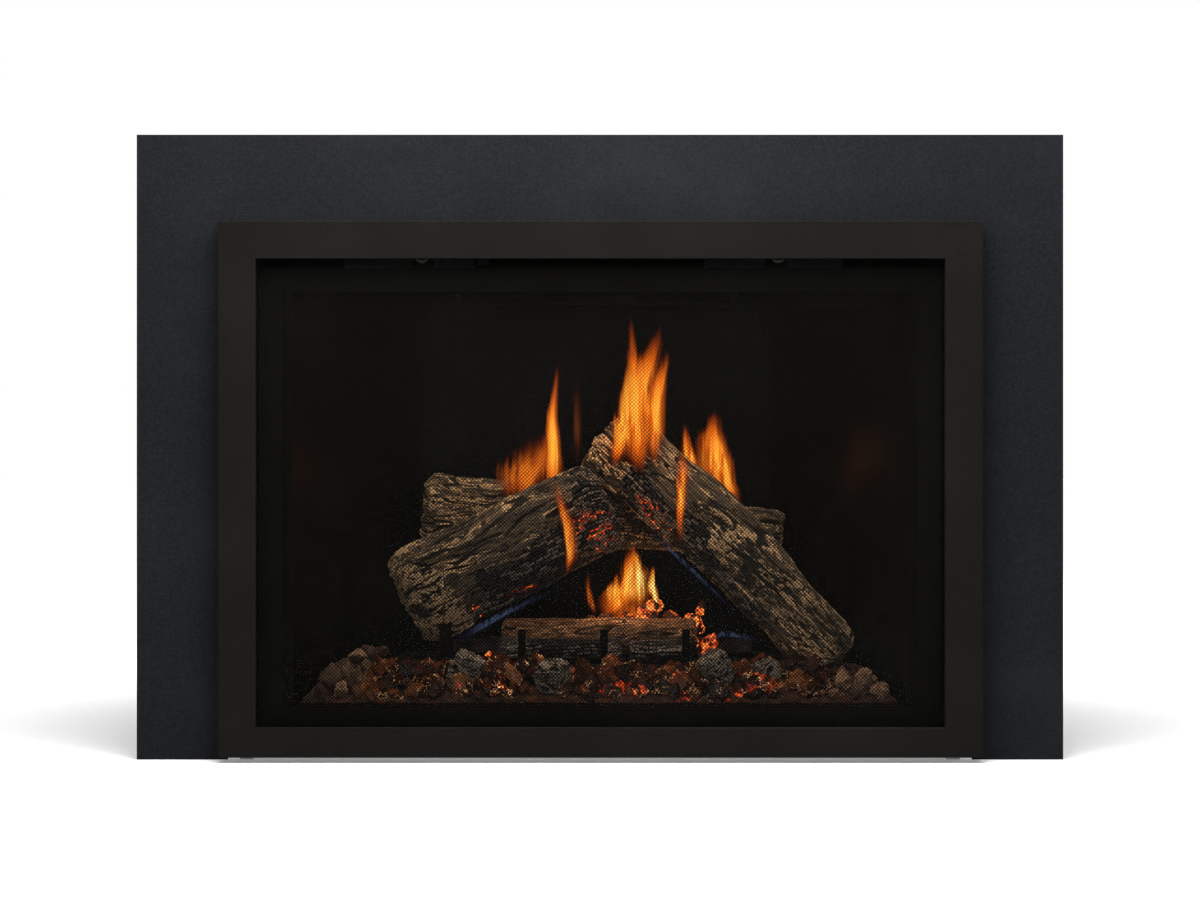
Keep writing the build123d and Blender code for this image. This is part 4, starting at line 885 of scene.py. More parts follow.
FLAME_FINISHES: tuple[FlameFinish, ...] = (
    FlameFinish("yellow_flame", (0.34, 0.030, 0.0015), (0.90, 0.165, 0.006), (1.0, 0.44, 0.040), 1.95, 0.84),
    FlameFinish("bright_flame", (0.60, 0.080, 0.004), (1.0, 0.34, 0.030), (1.0, 0.74, 0.22), 1.8, 0.85),
    FlameFinish("dim_flame", (0.16, 0.012, 0.001), (0.42, 0.060, 0.004), (0.80, 0.18, 0.012), 1.5, 0.42, 1.1),
    FlameFinish("faint_flame", (0.10, 0.008, 0.001), (0.26, 0.035, 0.003), (0.45, 0.09, 0.008), 1.0, 0.22, 1.0),
    FlameFinish("blue_flame", (0.010, 0.012, 0.05), (0.030, 0.036, 0.100), (0.13, 0.19, 0.36), 0.85, 0.30),
)


class Palette:
    """Every finish built once, by name."""

    def __init__(self, fx: Effects) -> None:
        """Builds the materials from the shared effects."""
        self.by_name = {finish.name: finish.build(fx) for finish in (*SLOT_FINISHES, *FLAME_FINISHES)}

    def settle(self, obj: Piece, finish: str, body: str, slot: str | None = None, *nodes: str) -> None:
        """Finishes a piece, puts it on its body and reports it.

        Args:
            obj: the piece.
            finish: name of its one finish.
            body: the CAD body that it rides on.
            slot: the material slot that it shows; not used.
            nodes: the CAD nodes that it stands for.
        """
        obj.data.materials.clear()
        obj.data.materials.append(self.by_name[finish])
        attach(obj, body)
        if nodes:
            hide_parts(*nodes)
        LOGGER.info("%s: %d points", obj.name, len(obj.data.vertices))

    def dress_frame(self) -> None:
        """Gives every CAD node the finish that its packed slot names."""
        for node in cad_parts.values():
            for index, old in enumerate(node.data.materials):
                node.data.materials[index] = self.by_name[old.name.split(".")[0]]


def soften_edges(nodes: tuple[str, ...], width: float = 0.0009, merge: float = 0.00001, angle: float = 0.6) -> None:
    """Rounds the bent and cut edges of sheet pieces, so that they catch the light.

    Args:
        nodes: the CAD nodes.
        width: width of the rounding in metres.
        merge: distance within which points are joined first.
        angle: the least bend that is rounded, in radians.
    """
    for name in nodes:
        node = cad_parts[name]
        node.modifiers.new("joined", "WELD").merge_threshold = merge
        bevel = node.modifiers.new("rounded", "BEVEL")
        bevel.width, bevel.segments, bevel.limit_method, bevel.angle_limit = width, 2, "ANGLE", angle
        bevel.harden_normals = True


# ---------------------------------------------------------------- mesh helpers


def add_mesh(name: str, points: Array, faces: Faces, smooth: bool = False) -> Piece:
    """Makes a linked mesh object.

    Args:
        name: name of the piece.
        points: N by 3 places in metres.
        faces: point numbers of each face.
        smooth: whether the faces are shaded smooth.

    Returns:
        The object.
    """
    mesh = bpy.data.meshes.new(name)
    mesh.from_pydata([tuple(p) for p in points], [], faces)
    mesh.validate()
    obj = bpy.data.objects.new(name, mesh)
    bpy.context.scene.collection.objects.link(obj)
    mesh.polygons.foreach_set("use_smooth", [smooth] * len(mesh.polygons))
    return obj


def hang(data: bpy.types.Light | bpy.types.Camera, place: Triple) -> Piece:
    """Puts a lamp or camera in the scene, seen neither by the camera nor in gloss.

    Args:
        data: the lamp or camera.
        place: where it hangs.

    Returns:
        Its object, which has its name.
    """
    holder = bpy.data.objects.new(data.name, data)
    holder.location = place
    holder.visible_camera = holder.visible_glossy = False
    bpy.context.scene.collection.objects.link(holder)
    return holder


def grid_faces(rows: int, columns: int) -> Faces:
    """Faces of a grid whose points run along one row after another."""
    starts = [row * columns + column for row in range(rows - 1) for column in range(columns - 1)]
    return [(at, at + 1, at + columns + 1, at + columns) for at in starts]


def set_values(obj: Piece, name: str, values: Array) -> None:
    """Keeps one value per point of obj's mesh under name, for its material to read."""
    layer = obj.data.attributes.get(name) or obj.data.attributes.new(name, "FLOAT", "POINT")
    layer.data.foreach_set("value", values.astype(np.float32))


def set_places(obj: Piece, name: str, places: Array) -> None:
    """Keeps one place per point of obj's mesh under name, for its material's grain."""
    layer = obj.data.attributes.get(name) or obj.data.attributes.new(name, "FLOAT_VECTOR", "POINT")
    layer.data.foreach_set("vector", places.astype(np.float32).ravel())


def move_points(obj: Piece, places: Array) -> None:
    """Puts the points of obj's mesh at N by 3 places."""
    obj.data.vertices.foreach_set("co", places.astype(np.float32).ravel())
    obj.data.update()


def points_of(mesh: bpy.types.Mesh, what: str = "co") -> Array:
    """Reads a mesh.

    Args:
        mesh: the mesh.
        what: "co" for its points or "normal" for their normals.

    Returns:
        N by 3 numbers.
    """
    flat = np.zeros(len(mesh.vertices) * 3, np.float32)
    mesh.vertices.foreach_get(what, flat)
    return flat.reshape(-1, 3).astype(float)


def skin_of(node: str, name: str, voxel: float, rounds: int) -> Piece:
    """A fine, softened copy of a CAD node's solid, ready to be carved.

    Args:
        node: the CAD node.
        name: name of the new piece.
        voxel: size of its faces in metres.
        rounds: how many times it is smoothed.

    Returns:
        The new object.
    """
    obj = bpy.data.objects.new(name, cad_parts[node].data.copy())
    bpy.context.scene.collection.objects.link(obj)
    remesh = obj.modifiers.new("fine", "REMESH")
    remesh.mode, remesh.voxel_size = "VOXEL", voxel
    soften = obj.modifiers.new("soft", "SMOOTH")
    soften.factor, soften.iterations = 0.5, rounds
    graph = bpy.context.evaluated_depsgraph_get()
    carved = bpy.data.meshes.new_from_object(obj.evaluated_get(graph))
    obj.modifiers.clear()
    obj.data = carved
    carved.name = name
    carved.polygons.foreach_set("use_smooth", [True] * len(carved.polygons))
    return obj


# ---------------------------------------------------------------- logs


class Burn(Enum):
    """What a stretch of a log shows."""

    PALE = "dry-brushed tan"
    CHAR = "black blocks"
    EMBER = "glowing cracks"


@dataclass(frozen=True)
class Zone:
    """A soft-edged stretch of a log, in shares of its length and of its half height."""

    burn: Burn
    start: float
    end: float
    low: float = -2.0
    high: float = 2.0
    amount: float = 1.0


class BarkPattern:
    """Carved bark: furrows that run with the grain, short splits, and the square blocks of char.

    Waves and fibres are given by their size along and across the grain, in metres. A crack is
    fully open at its thin distance from the middle and gone at its wide one, and so is its lip.
    """

    SLOW_WAVE, SLOW_REACH = (0.10, 0.06, 0.06), 0.014
    QUICK_WAVE, QUICK_REACH = (0.028, 0.02, 0.02), 0.0065
    FIBRE = (0.010, 0.0022, 0.0022)
    CRACK_WIDE, CRACK_THIN = 0.0014, 0.0005
    LIP_WIDE, LIP_THIN = 0.0030, 0.0017

    def __init__(self, noise: NoiseField, pitch: float) -> None:
        """Keeps the piece's noise and the furrows' pitch in metres."""
        self.noise = noise
        self.pitch = pitch

    def bend(self, place: Array) -> Array:
        """Adds the grain's slow and quick waves across it.

        Args:
            place: places with the grain along x.

        Returns:
            The bent places.
        """
        slow = self.noise.smooth(place / self.SLOW_WAVE) - 0.5
        quick = self.noise.smooth(place / self.QUICK_WAVE + 9.1) - 0.5
        bent = place.copy()
        bent[:, 1:] += (slow * self.SLOW_REACH + quick * self.QUICK_REACH)[:, None]
        return bent

    def folds(self, bent: Array, pitch: float, stretch: float, start: float) -> Array:
        """Ridged noise, 1 along thin wavy lines that run with the grain.

        Args:
            bent: places with the grain along x.
            pitch: distance between lines in metres.
            stretch: how much longer than its pitch a line runs.
            start: where in the noise it is read.

        Returns:
            Values from 0 to 1.
        """
        wave = self.noise.smooth(bent / (pitch * stretch, pitch, pitch) + start)
        return 1 - np.minimum(np.abs(4.4 * wave - 2.2), 1)

    def furrows(self, bent: Array) -> tuple[Array, Array, Array]:
        """Bark.

        Args:
            bent: places with the grain along x.

        Returns:
            Height from 0 to 1, the lips beside the furrows, and short cross splits.
        """
        wide = self.folds(bent, self.pitch, stretch=8.0, start=0.0)
        thin = self.folds(bent, self.pitch * 0.48, stretch=7.0, start=5.0)
        furrow, gully = ease(wide, 0.74, 0.93), ease(thin, 0.76, 0.95)
        fine = self.noise.layered(bent / self.FIBRE + 3.0, 2)
        flake = ease(self.noise.smooth(bent / (self.pitch * np.array([6.0, 1.5, 1.5])) + 21.0), 0.44, 0.50)
        near, second = self.noise.cells(bent / (self.pitch * np.array([0.85, 0.42, 0.42])), 0.85)
        split = ease(second - near, 0.13, 0.02)
        height = 0.84 - 0.80 * furrow - 0.50 * gully * (1 - furrow) + 0.75 * (fine - 0.5) - 0.12 * (1 - flake)
        wide_lip = ease(wide, 0.54, 0.66) * (1 - furrow) ** 2
        thin_lip = 0.8 * ease(thin, 0.58, 0.70) * (1 - gully) ** 2
        return height, np.maximum(wide_lip, thin_lip), split

    def blocks(self, place: Array, arc: Array) -> tuple[Array, Array, Array]:
        """Char, cracked into rows of uneven blocks.

        Args:
            place: places with the grain along x.
            arc: distance round the piece in metres.

        Returns:
            Height from 0 to 1, the blocks' lips, and the cracks.
        """
        long, tall = self.pitch * 1.25, self.pitch * 0.68
        waver = self.noise.smooth(place / 0.018 + 12.0) - 0.5
        v = (arc + waver * 0.006 + 0.003 * np.sin(place[:, 0] / 0.021)) / tall
        row = np.floor(v)
        cell = row.astype(int) % NoiseField.SIDE
        u = (place[:, 0] + waver * 0.005) / long + 0.5 * (row % 2) + 0.7 * self.noise.values[cell, 3, 5]
        column = np.floor(u)
        edge = np.minimum((0.5 - np.abs(u - column - 0.5)) * long, (0.5 - np.abs(v - row - 0.5)) * tall)
        own = self.noise.values[cell, column.astype(int) % NoiseField.SIDE, 7]
        fine = self.noise.layered(place / 0.004 + 90.0, 2)
        crack = ease(edge, self.CRACK_WIDE, self.CRACK_THIN)
        lip = ease(edge, self.LIP_WIDE, self.LIP_THIN) * (1 - crack) * ease(own, 0.2, 0.6)
        return 0.75 - 0.75 * crack + 0.30 * (own - 0.5) + 0.25 * (fine - 0.5), lip, crack


@dataclass
class CarvedLog:
    """One cast log: the CAD solid's own form, carved into bark and char.

    Start and end are the ends of its middle line and thick its height. Ridge is the furrows' pitch
    and depth how deep they go. No point moves out by more than furthest.
    """

    node: str
    start: Triple
    end: Triple
    thick: float
    zones: tuple[Zone, ...]
    seed: int
    slot: str = "log_bark"
    finish: str = "log_bark"
    voxel: float = 0.0010
    ridge: float = 0.0088
    depth: float = 0.0048
    soften: int = 9
    proud: float = 0.0015
    furthest: float = 0.0036

    def basis(self) -> Array:
        """The log's own directions.

        Returns:
            Three rows: along it, across it to the back, and up.
        """
        along = (Vector(self.end) - Vector(self.start)).normalized()
        back = Vector((0, 1, 0))
        back = (back - along * back.dot(along)).normalized()
        up = along.cross(back)
        return np.array([along, back, -up if up.z < 0 else up])

    def mask(self, burn: Burn, t: Array, h: Array) -> Array:
        """How much each point shows one kind of burn.

        Args:
            burn: the kind.
            t: share of the length.
            h: share of the half height.

        Returns:
            Values from 0 to 1.
        """
        total = np.zeros(len(t))
        for zone in self.zones:
            if zone.burn is burn:
                part = ease(t, zone.start - 0.05, zone.start + 0.05) * ease(t, zone.end + 0.05, zone.end - 0.05)
                part *= ease(h, zone.low - 0.18, zone.low + 0.18) * ease(h, zone.high + 0.18, zone.high - 0.18)
                total = np.maximum(total, part * zone.amount)
        return total

    def build(self) -> Piece:
        """Carves the log.

        Returns:
            The carved object.
        """
        obj = skin_of(self.node, "carved_" + self.node, self.voxel, self.soften)
        noise = NoiseField(self.seed)
        points, normals = points_of(obj.data), points_of(obj.data, "normal")
        basis = self.basis()
        place = (points - np.array(self.start)) @ basis.T
        length = (Vector(self.end) - Vector(self.start)).length
        # Shares of length and half height, with noise so that the zones' edges wander.
        t = place[:, 0] / length + 0.09 * (noise.smooth(place / 0.05) - 0.5)
        h = place[:, 2] / (self.thick / 2) + 0.5 * (noise.smooth(place / 0.045 + 31.0) - 0.5)
        bark = BarkPattern(noise, self.ridge)
        bent = bark.bend(place)
        level, lip, split = bark.furrows(bent)
        angle = np.arctan2(place[:, 2], -place[:, 1])
        blocks, block_lip, crack = bark.blocks(place, angle * self.thick / 2)
        # Gate picks the strokes of the dry brush.
        gate = noise.layered(bent / (0.035, 0.010, 0.010) + 63.0, 2)
        char = self.mask(Burn.CHAR, t, h)
        char = ease(char + 0.4 * (noise.layered(place / 0.02 + 77.0, 2) - 0.5), 0.30, 0.60)
        pale_zone = self.mask(Burn.PALE, t, h)
        level = level - 0.55 * split * (0.2 + 0.8 * pale_zone)
        # Pale zones are brushed wherever they stand high, the rest only on the furrows' lips.
        brushed = 0.85 * pale_zone * ease(level, 0.42, 0.86) * (0.5 + 0.5 * ease(gate, 0.34, 0.60))
        brushed += lip * ease(gate, 0.44, 0.58) * ease(level, 0.3, 0.6) * 1.1 * (1 - 0.5 * pale_zone)
        # Char puts its blocks in place of the bark.
        level = level * (1 - char) + blocks * char
        brushed = np.clip(brushed * (1 - char) + block_lip * ease(gate, 0.34, 0.52) * 1.1 * char, 0, 1)
        # Embers glow in the cracks between blocks, in patches.
        hot = ease(noise.smooth(place / (0.016, 0.007, 0.007) + 5.0), 0.36, 0.60)
        ember = self.mask(Burn.EMBER, t, h) * np.clip(crack * 1.2 + 0.1, 0, 1) * ease(char, 0.2, 0.7) * hot
        lump = noise.layered(place / 0.045 + 50.0, 2) - 0.5
        push = self.proud - self.depth * (0.9 - np.clip(level, 0, 1.1)) + self.depth * 1.8 * lump
        push = np.minimum(push, self.furthest)[:, None]
        move_points(obj, points + normals * push + self.worn_ends(place, noise) @ basis)
        for name, values in (("height", np.clip(level, 0, 1)), ("char", char), ("pale", brushed), ("ember", ember)):
            set_values(obj, name, values)
        set_places(obj, "grain", bent)
        return obj

    def worn_ends(self, place: Array, noise: NoiseField) -> Array:
        """Rounds off and breaks up both cut ends.

        Args:
            place: points in the log's own directions.
            noise: the log's noise.

        Returns:
            How far each point moves, in the log's own directions.
        """
        low, high = place[:, 0].min(), place[:, 0].max()
        near = np.clip(1 - np.minimum(place[:, 0] - low, high - place[:, 0]) / (self.thick * 0.20), 0, 1)
        broken = noise.layered(place / (0.03, 0.011, 0.011) + 40.0, 3)
        move = place * (0.0, -0.17, -0.17) * (near**2)[:, None]
        inward = np.where(place[:, 0] < (low + high) / 2, 1.0, -1.0)
        move[:, 0] = inward * near * broken * self.thick * 0.13
        return move

    def dress(self, palette: Palette) -> None:
        """Builds the log, finishes it and puts it in the node's place."""
        palette.settle(self.build(), self.finish, FIXED_BODY, self.slot, self.node)


@dataclass
class LogSet:
    """The six cast logs on the grate."""

    logs: tuple[CarvedLog, ...] = (
        CarvedLog("log_front_left", (-0.231, -0.064, 0.166), (0.016, -0.036, 0.285), 0.112, (
            # In the next line the second pale zone, strong on the lower half by the left end, is painted firelight
            # from the fire below, not brushed paint.
            Zone(Burn.PALE, -0.3, 0.20, -2.0, 2.0, 1.25), Zone(Burn.PALE, -0.3, 0.22, -2.0, 0.2, 2.2),
            Zone(Burn.PALE, 0.1, 0.42, 0.30, 1.6, 0.35), Zone(Burn.CHAR, 0.86, 1.4),
            Zone(Burn.CHAR, 0.34, 0.95, -2.0, -0.12), Zone(Burn.CHAR, 0.22, 0.36, -2.0, -0.72, 0.8),
            Zone(Burn.EMBER, 0.78, 1.10, -0.85, 0.15, 0.68), Zone(Burn.EMBER, 0.40, 0.60, -1.1, -0.75, 0.62),
            Zone(Burn.EMBER, 0.22, 0.31, -1.3, -0.72, 0.8),
        ), 11),
        CarvedLog("log_front_right", (0.0068, 0.030, 0.362), (0.279, -0.090, 0.105), 0.088, (
            Zone(Burn.PALE, 0.42, 1.1, -0.60, 0.75), Zone(Burn.PALE, -0.3, 0.24, -0.6, 2.0, 0.7),
            Zone(Burn.CHAR, 0.26, 0.80, -2.0, -0.45), Zone(Burn.CHAR, 0.18, 0.46, -2.0, 0.05),
            Zone(Burn.EMBER, 0.20, 0.42, -1.2, -0.2, 0.68),
        ), 23),
        CarvedLog("log_rear", (-0.212, 0.062, 0.268), (0.230, 0.026, 0.244), 0.080, (
            Zone(Burn.PALE, -0.3, 0.30, amount=0.48), Zone(Burn.PALE, 0.85, 1.3, amount=0.4),
            Zone(Burn.CHAR, 0.36, 0.80),
        ), 37),
        CarvedLog("log_middle_upper", (-0.110, -0.044, 0.125), (0.112, -0.044, 0.125), 0.043, (
            Zone(Burn.PALE, -0.3, 1.3, -0.6, 1.0, 0.6), Zone(Burn.CHAR, 0.90, 1.3, -2.0, 0.0, 0.8),
        ), 41, finish="split_log", voxel=0.0009, ridge=0.0075, depth=0.0016),
        CarvedLog("log_middle_left", (-0.114, -0.078, 0.113), (0.026, -0.078, 0.113), 0.022, (
            Zone(Burn.PALE, -0.3, 1.3, -2.0, 0.6, 0.9), Zone(Burn.CHAR, 0.2, 0.9, -0.5, 2.0, 0.8),
        ), 53, "char_bark", "char_bark", voxel=0.0008, ridge=0.0065, depth=0.0017),
        CarvedLog("log_middle_right", (0.036, -0.078, 0.112), (0.099, -0.078, 0.112), 0.020, (
            Zone(Burn.PALE, -0.3, 1.3, -2.0, 0.6, 0.9), Zone(Burn.CHAR, 0.1, 0.6, 0.0, 2.0, 0.8),
        ), 59, "char_bark", "char_bark", voxel=0.0008, ridge=0.0065, depth=0.0017),
    )

    def dress(self, palette: Palette) -> None:
        """Carves and finishes every log."""
        for log in self.logs:
            log.dress(palette)


# ---------------------------------------------------------------- loose media


# Peak, X and width of each warm spot, and Y and width of the band that they lie in.
WARM_SPOTS = ((0.55, 0.01, 0.15), (0.75, 0.14, 0.10), (0.3, -0.16, 0.08))
WARM_BAND = (-0.135, 0.045)


def ember_warmth(points: Array) -> Array:
    """How hot the bed is: hottest along its front middle and right.

    Args:
        points: N by 3 places.

    Returns:
        N values from 0 to 1.
    """
    spread = sum(peak * np.exp(-(((points[:, 0] - x) / wide) ** 2)) for peak, x, wide in WARM_SPOTS)
    return np.clip(np.exp(-(((points[:, 1] - WARM_BAND[0]) / WARM_BAND[1]) ** 2)) * spread, 0, 1)


@dataclass
class EmberBed:
    """The ember bed: the CAD node's own form, roughened, with heat by place."""

    grit: float = 0.010
    depth: float = 0.0030
    voxel: float = 0.0024
    soften: int = 5
    seed: int = 61

    def dress(self, palette: Palette) -> None:
        """Carves, finishes and places the bed.

        Args:
            palette: the finishes.
        """
        obj = skin_of("ember_bed", "carved_ember_bed", self.voxel, self.soften)
        noise = NoiseField(self.seed)
        points, normals = points_of(obj.data), points_of(obj.data, "normal")
        rough = noise.layered(points / self.grit, 4, 0.55)
        level = np.clip(0.5 + (rough - 0.5) * 1.5, 0, 1)
        move_points(obj, points - normals * (self.depth * (0.9 - level))[:, None])
        set_values(obj, "height", level)
        set_values(obj, "ember", ember_warmth(points) * 0.7 * ease(rough, 0.66, 0.40))
        palette.settle(obj, "ember_fibre", FIXED_BODY, "ember_fibre", "ember_bed")


class Ball:
    """Directions of a fine round grid, from which faceted lumps are cut."""

    UNEVEN = (0.97, 1.03)
    CLOSEST = 0.82

    def __init__(self, fineness: int) -> None:
        """Reads the directions off a ball.

        Args:
            fineness: how many times the faces of its icosahedron are split.
        """
        grid = bmesh.new()
        bmesh.ops.create_icosphere(grid, subdivisions=fineness, radius=1.0)
        self.directions = np.array([v.co.normalized() for v in grid.verts])
        self.faces = [tuple(v.index for v in face.verts) for face in grid.faces]
        grid.free()

    def cut(self, rng: Dice, normals: Array, reach: Array, sharp: float) -> Array:
        """A lump bounded by planes.

        Args:
            rng: source of its slight unevenness.
            normals: M by 3 directions of the planes.
            reach: their distances from the middle.
            sharp: how crisp the edges between planes are.

        Returns:
            Its points, about one unit from the middle.
        """
        uneven = reach * rng.uniform(*self.UNEVEN, len(reach))
        facing = np.maximum(self.directions @ normals.T, 0.0) / uneven
        away = 1 / np.maximum(np.sum(facing**sharp, axis=1) ** (1 / sharp), self.CLOSEST)
        return self.directions * away[:, None]

    def lump(self, rng: Dice, planes: int, nearest: float, sharp: float) -> Array:
        """A lump cut by random planes that lie from nearest to 1 from the middle."""
        normals = random_directions(rng, planes)
        return self.cut(rng, normals, rng.uniform(nearest, 1.0, planes), sharp)


class LumpPile:
    """Gathers many lumps into one piece."""

    def __init__(self, ball: Ball) -> None:
        """Starts empty.

        Args:
            ball: what every lump is cut from.
        """
        self.ball = ball
        self.points: list[Array] = []
        self.faces: Faces = []
        self.values: dict[str, list[Array]] = {}

    def add(self, points: Array, **values: Array) -> None:
        """Adds one lump.

        Args:
            points: its points.
            values: a value or place per point under each name.
        """
        start = len(self.points) * len(self.ball.directions)
        self.faces += [tuple(i + start for i in face) for face in self.ball.faces]
        self.points.append(points)
        for name, given in values.items():
            self.values.setdefault(name, []).append(given)

    def piece(self, name: str) -> Piece:
        """Joins the lumps.

        Args:
            name: name of the piece.

        Returns:
            One smooth piece that keeps their values.
        """
        obj = add_mesh(name, np.vstack(self.points), self.faces, smooth=True)
        for label, given in self.values.items():
            joined = np.concatenate(given)
            keep = set_places if joined.ndim == 2 else set_values
            keep(obj, label, joined)
        return obj


def random_directions(rng: Dice, count: int) -> Array:
    """Count directions spread evenly at random."""
    raw = rng.normal(size=(count, 3))
    return raw / np.linalg.norm(raw, axis=1)[:, None]


def loose_kit(seed: int, fineness: int) -> tuple[Dice, NoiseField, LumpPile]:
    """Seeded dice and noise, and an empty pile whose lumps are cut from a ball of some fineness."""
    return np.random.default_rng(seed), NoiseField(seed), LumpPile(Ball(fineness))


def islands(node: str) -> list[tuple[Array, Array]]:
    """Middle and half size of each separate solid of a CAD node.

    Args:
        node: the CAD node.

    Returns:
        A pair of places per solid, from left to right.
    """
    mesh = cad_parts[node].data
    points = points_of(mesh)
    keys = np.unique(np.round(points, 6), axis=0, return_inverse=True)[1].ravel()
    label = np.arange(keys.max() + 1)
    edges = np.zeros(len(mesh.edges) * 2, int)
    mesh.edges.foreach_get("vertices", edges)
    edges = keys[edges.reshape(-1, 2)]
    while True:
        low = label[edges].min(axis=1)
        fresh = label.copy()
        np.minimum.at(fresh, edges[:, 0], low)
        np.minimum.at(fresh, edges[:, 1], low)
        fresh = fresh[fresh]
        if np.array_equal(fresh, label):
            break
        label = fresh
    found = []
    for one in np.unique(label):
        own = points[label[keys] == one]
        low, high = own.min(axis=0), own.max(axis=0)
        found.append(((high + low) / 2, (high - low) / 2))
    return sorted(found, key=lambda pair: float(pair[0][0]))


@dataclass
class RiverRocks:
    """Broken stones in the places of the CAD rocks, with smaller ones lying among them."""

    gravel: int = 46
    gravel_size: tuple[float, float] = (0.0040, 0.0085)
    gravel_run: tuple[float, float] = (0.225, 0.326)
    gravel_depth: tuple[float, float] = (-0.158, -0.096)
    planes: int = 13
    nearest: float = 0.62
    sharp: float = 40.0
    seed: int = 63

    def stone(self, rng: Dice, noise: NoiseField, pile: LumpPile, centre: Array, half: Array) -> None:
        """Adds one stone: planes knocked off a lump, pitted and grained, painted darker in the dents as shade and
        given a faint painted glow near the bed.

        Args:
            rng: source of its form.
            noise: its grain.
            pile: where it goes.
            centre: its middle.
            half: its half size.
        """
        shape = pile.ball.lump(rng, self.planes, self.nearest, self.sharp)
        points = centre + shape * (0.55 * half + 0.38 * np.median(half))
        rough = noise.layered(points / 0.0048, 4, 0.62)
        pit_dent_and_shade = ease(noise.smooth(points / 0.0026), 0.42, 0.28)
        points = points + pile.ball.directions * ((rough - 0.60) * 0.0062 - pit_dent_and_shade * 0.0009)[:, None]
        # The tone drops in the dents: painted shade.
        tone = np.clip(rng.uniform(-0.5, 1.1) + 1.4 * (rough - 0.5) - 0.5 * pit_dent_and_shade, 0, 1)
        # A faint glow near the hot bed: painted light from the embers.
        warm = ember_warmth(points) * 0.2 * ease(rough, 0.6, 0.4)
        pile.add(points, height=np.clip(rough * 1.2, 0, 1), tone=tone, ember=warm)

    def dress(self, palette: Palette) -> None:
        """Cuts every stone and puts the pile in the node's place.

        Args:
            palette: the finishes.
        """
        rng, noise, pile = loose_kit(self.seed, 5)
        for centre, half in islands("rocks"):
            self.stone(rng, noise, pile, centre, half * rng.uniform(1.0, 1.12, 3))
        for number in range(self.gravel):
            size = rng.uniform(*self.gravel_size)
            x = rng.uniform(*self.gravel_run) * (1 if number % 2 else -1)
            y = rng.uniform(*self.gravel_depth)
            z = GlassChips().height_at(y) + size * 0.6
            self.stone(rng, noise, pile, np.array([x, y, z]), size * rng.uniform(0.7, 1.2, 3))
        palette.settle(pile.piece("broken_rocks"), "river_rock", FIXED_BODY, "river_rock", "rocks")


@dataclass
class CharChunks:
    """Blocky lumps of charred bark in the places of the CAD chunks."""

    pitch: float = 0.0084
    depth: float = 0.0042
    proud: float = 0.0012
    char: float = 0.35
    knocks: int = 7
    sides: tuple[float, float] = (0.66, 0.80)
    corners: tuple[float, float] = (0.82, 0.95)
    sharp: float = 18.0
    seed: int = 67

    def dress(self, palette: Palette) -> None:
        """Cuts each chunk from a turned box, furrows it and puts it in the node's place.

        Args:
            palette: the finishes.
        """
        rng, noise, pile = loose_kit(self.seed, 6)
        bark = BarkPattern(noise, self.pitch)
        for centre, half in islands("char_chunks"):
            turn, tip = rng.uniform(-0.7, 0.7), rng.uniform(-0.5, 0.5)
            along = np.array([math.cos(turn) * math.cos(tip), math.sin(turn), math.cos(turn) * math.sin(tip)])
            along /= np.linalg.norm(along)
            side = np.cross(along, [0.0, 1.0, 0.2])
            side /= np.linalg.norm(side)
            axes = np.array([along, np.cross(side, along), side])
            normals = np.vstack([axes, -axes, random_directions(rng, self.knocks)])
            reach = np.concatenate([rng.uniform(*self.sides, 6), rng.uniform(*self.corners, self.knocks)])
            shape = pile.ball.cut(rng, normals, reach, self.sharp)
            shape /= np.abs(shape).max(axis=0)
            points = centre + shape * half
            place = (points - centre) @ axes.T + centre
            bent = bark.bend(place)
            level, lip, split = bark.furrows(bent)
            level = level - 0.45 * split
            push = self.proud - self.depth * (0.95 - np.clip(level, 0, 1.1))
            points = points + pile.ball.directions * push[:, None]
            brushed = np.clip(1.1 * lip + 0.5 * ease(level, 0.62, 0.9), 0, 1)
            ember, char = ember_warmth(points) * 0.12, np.full(len(points), self.char)
            pile.add(points, height=np.clip(level, 0, 1), pale=brushed, char=char, ember=ember, grain=bent)
        palette.settle(pile.piece("charred_chunks"), "char_bark", FIXED_BODY, "char_bark", "char_chunks")


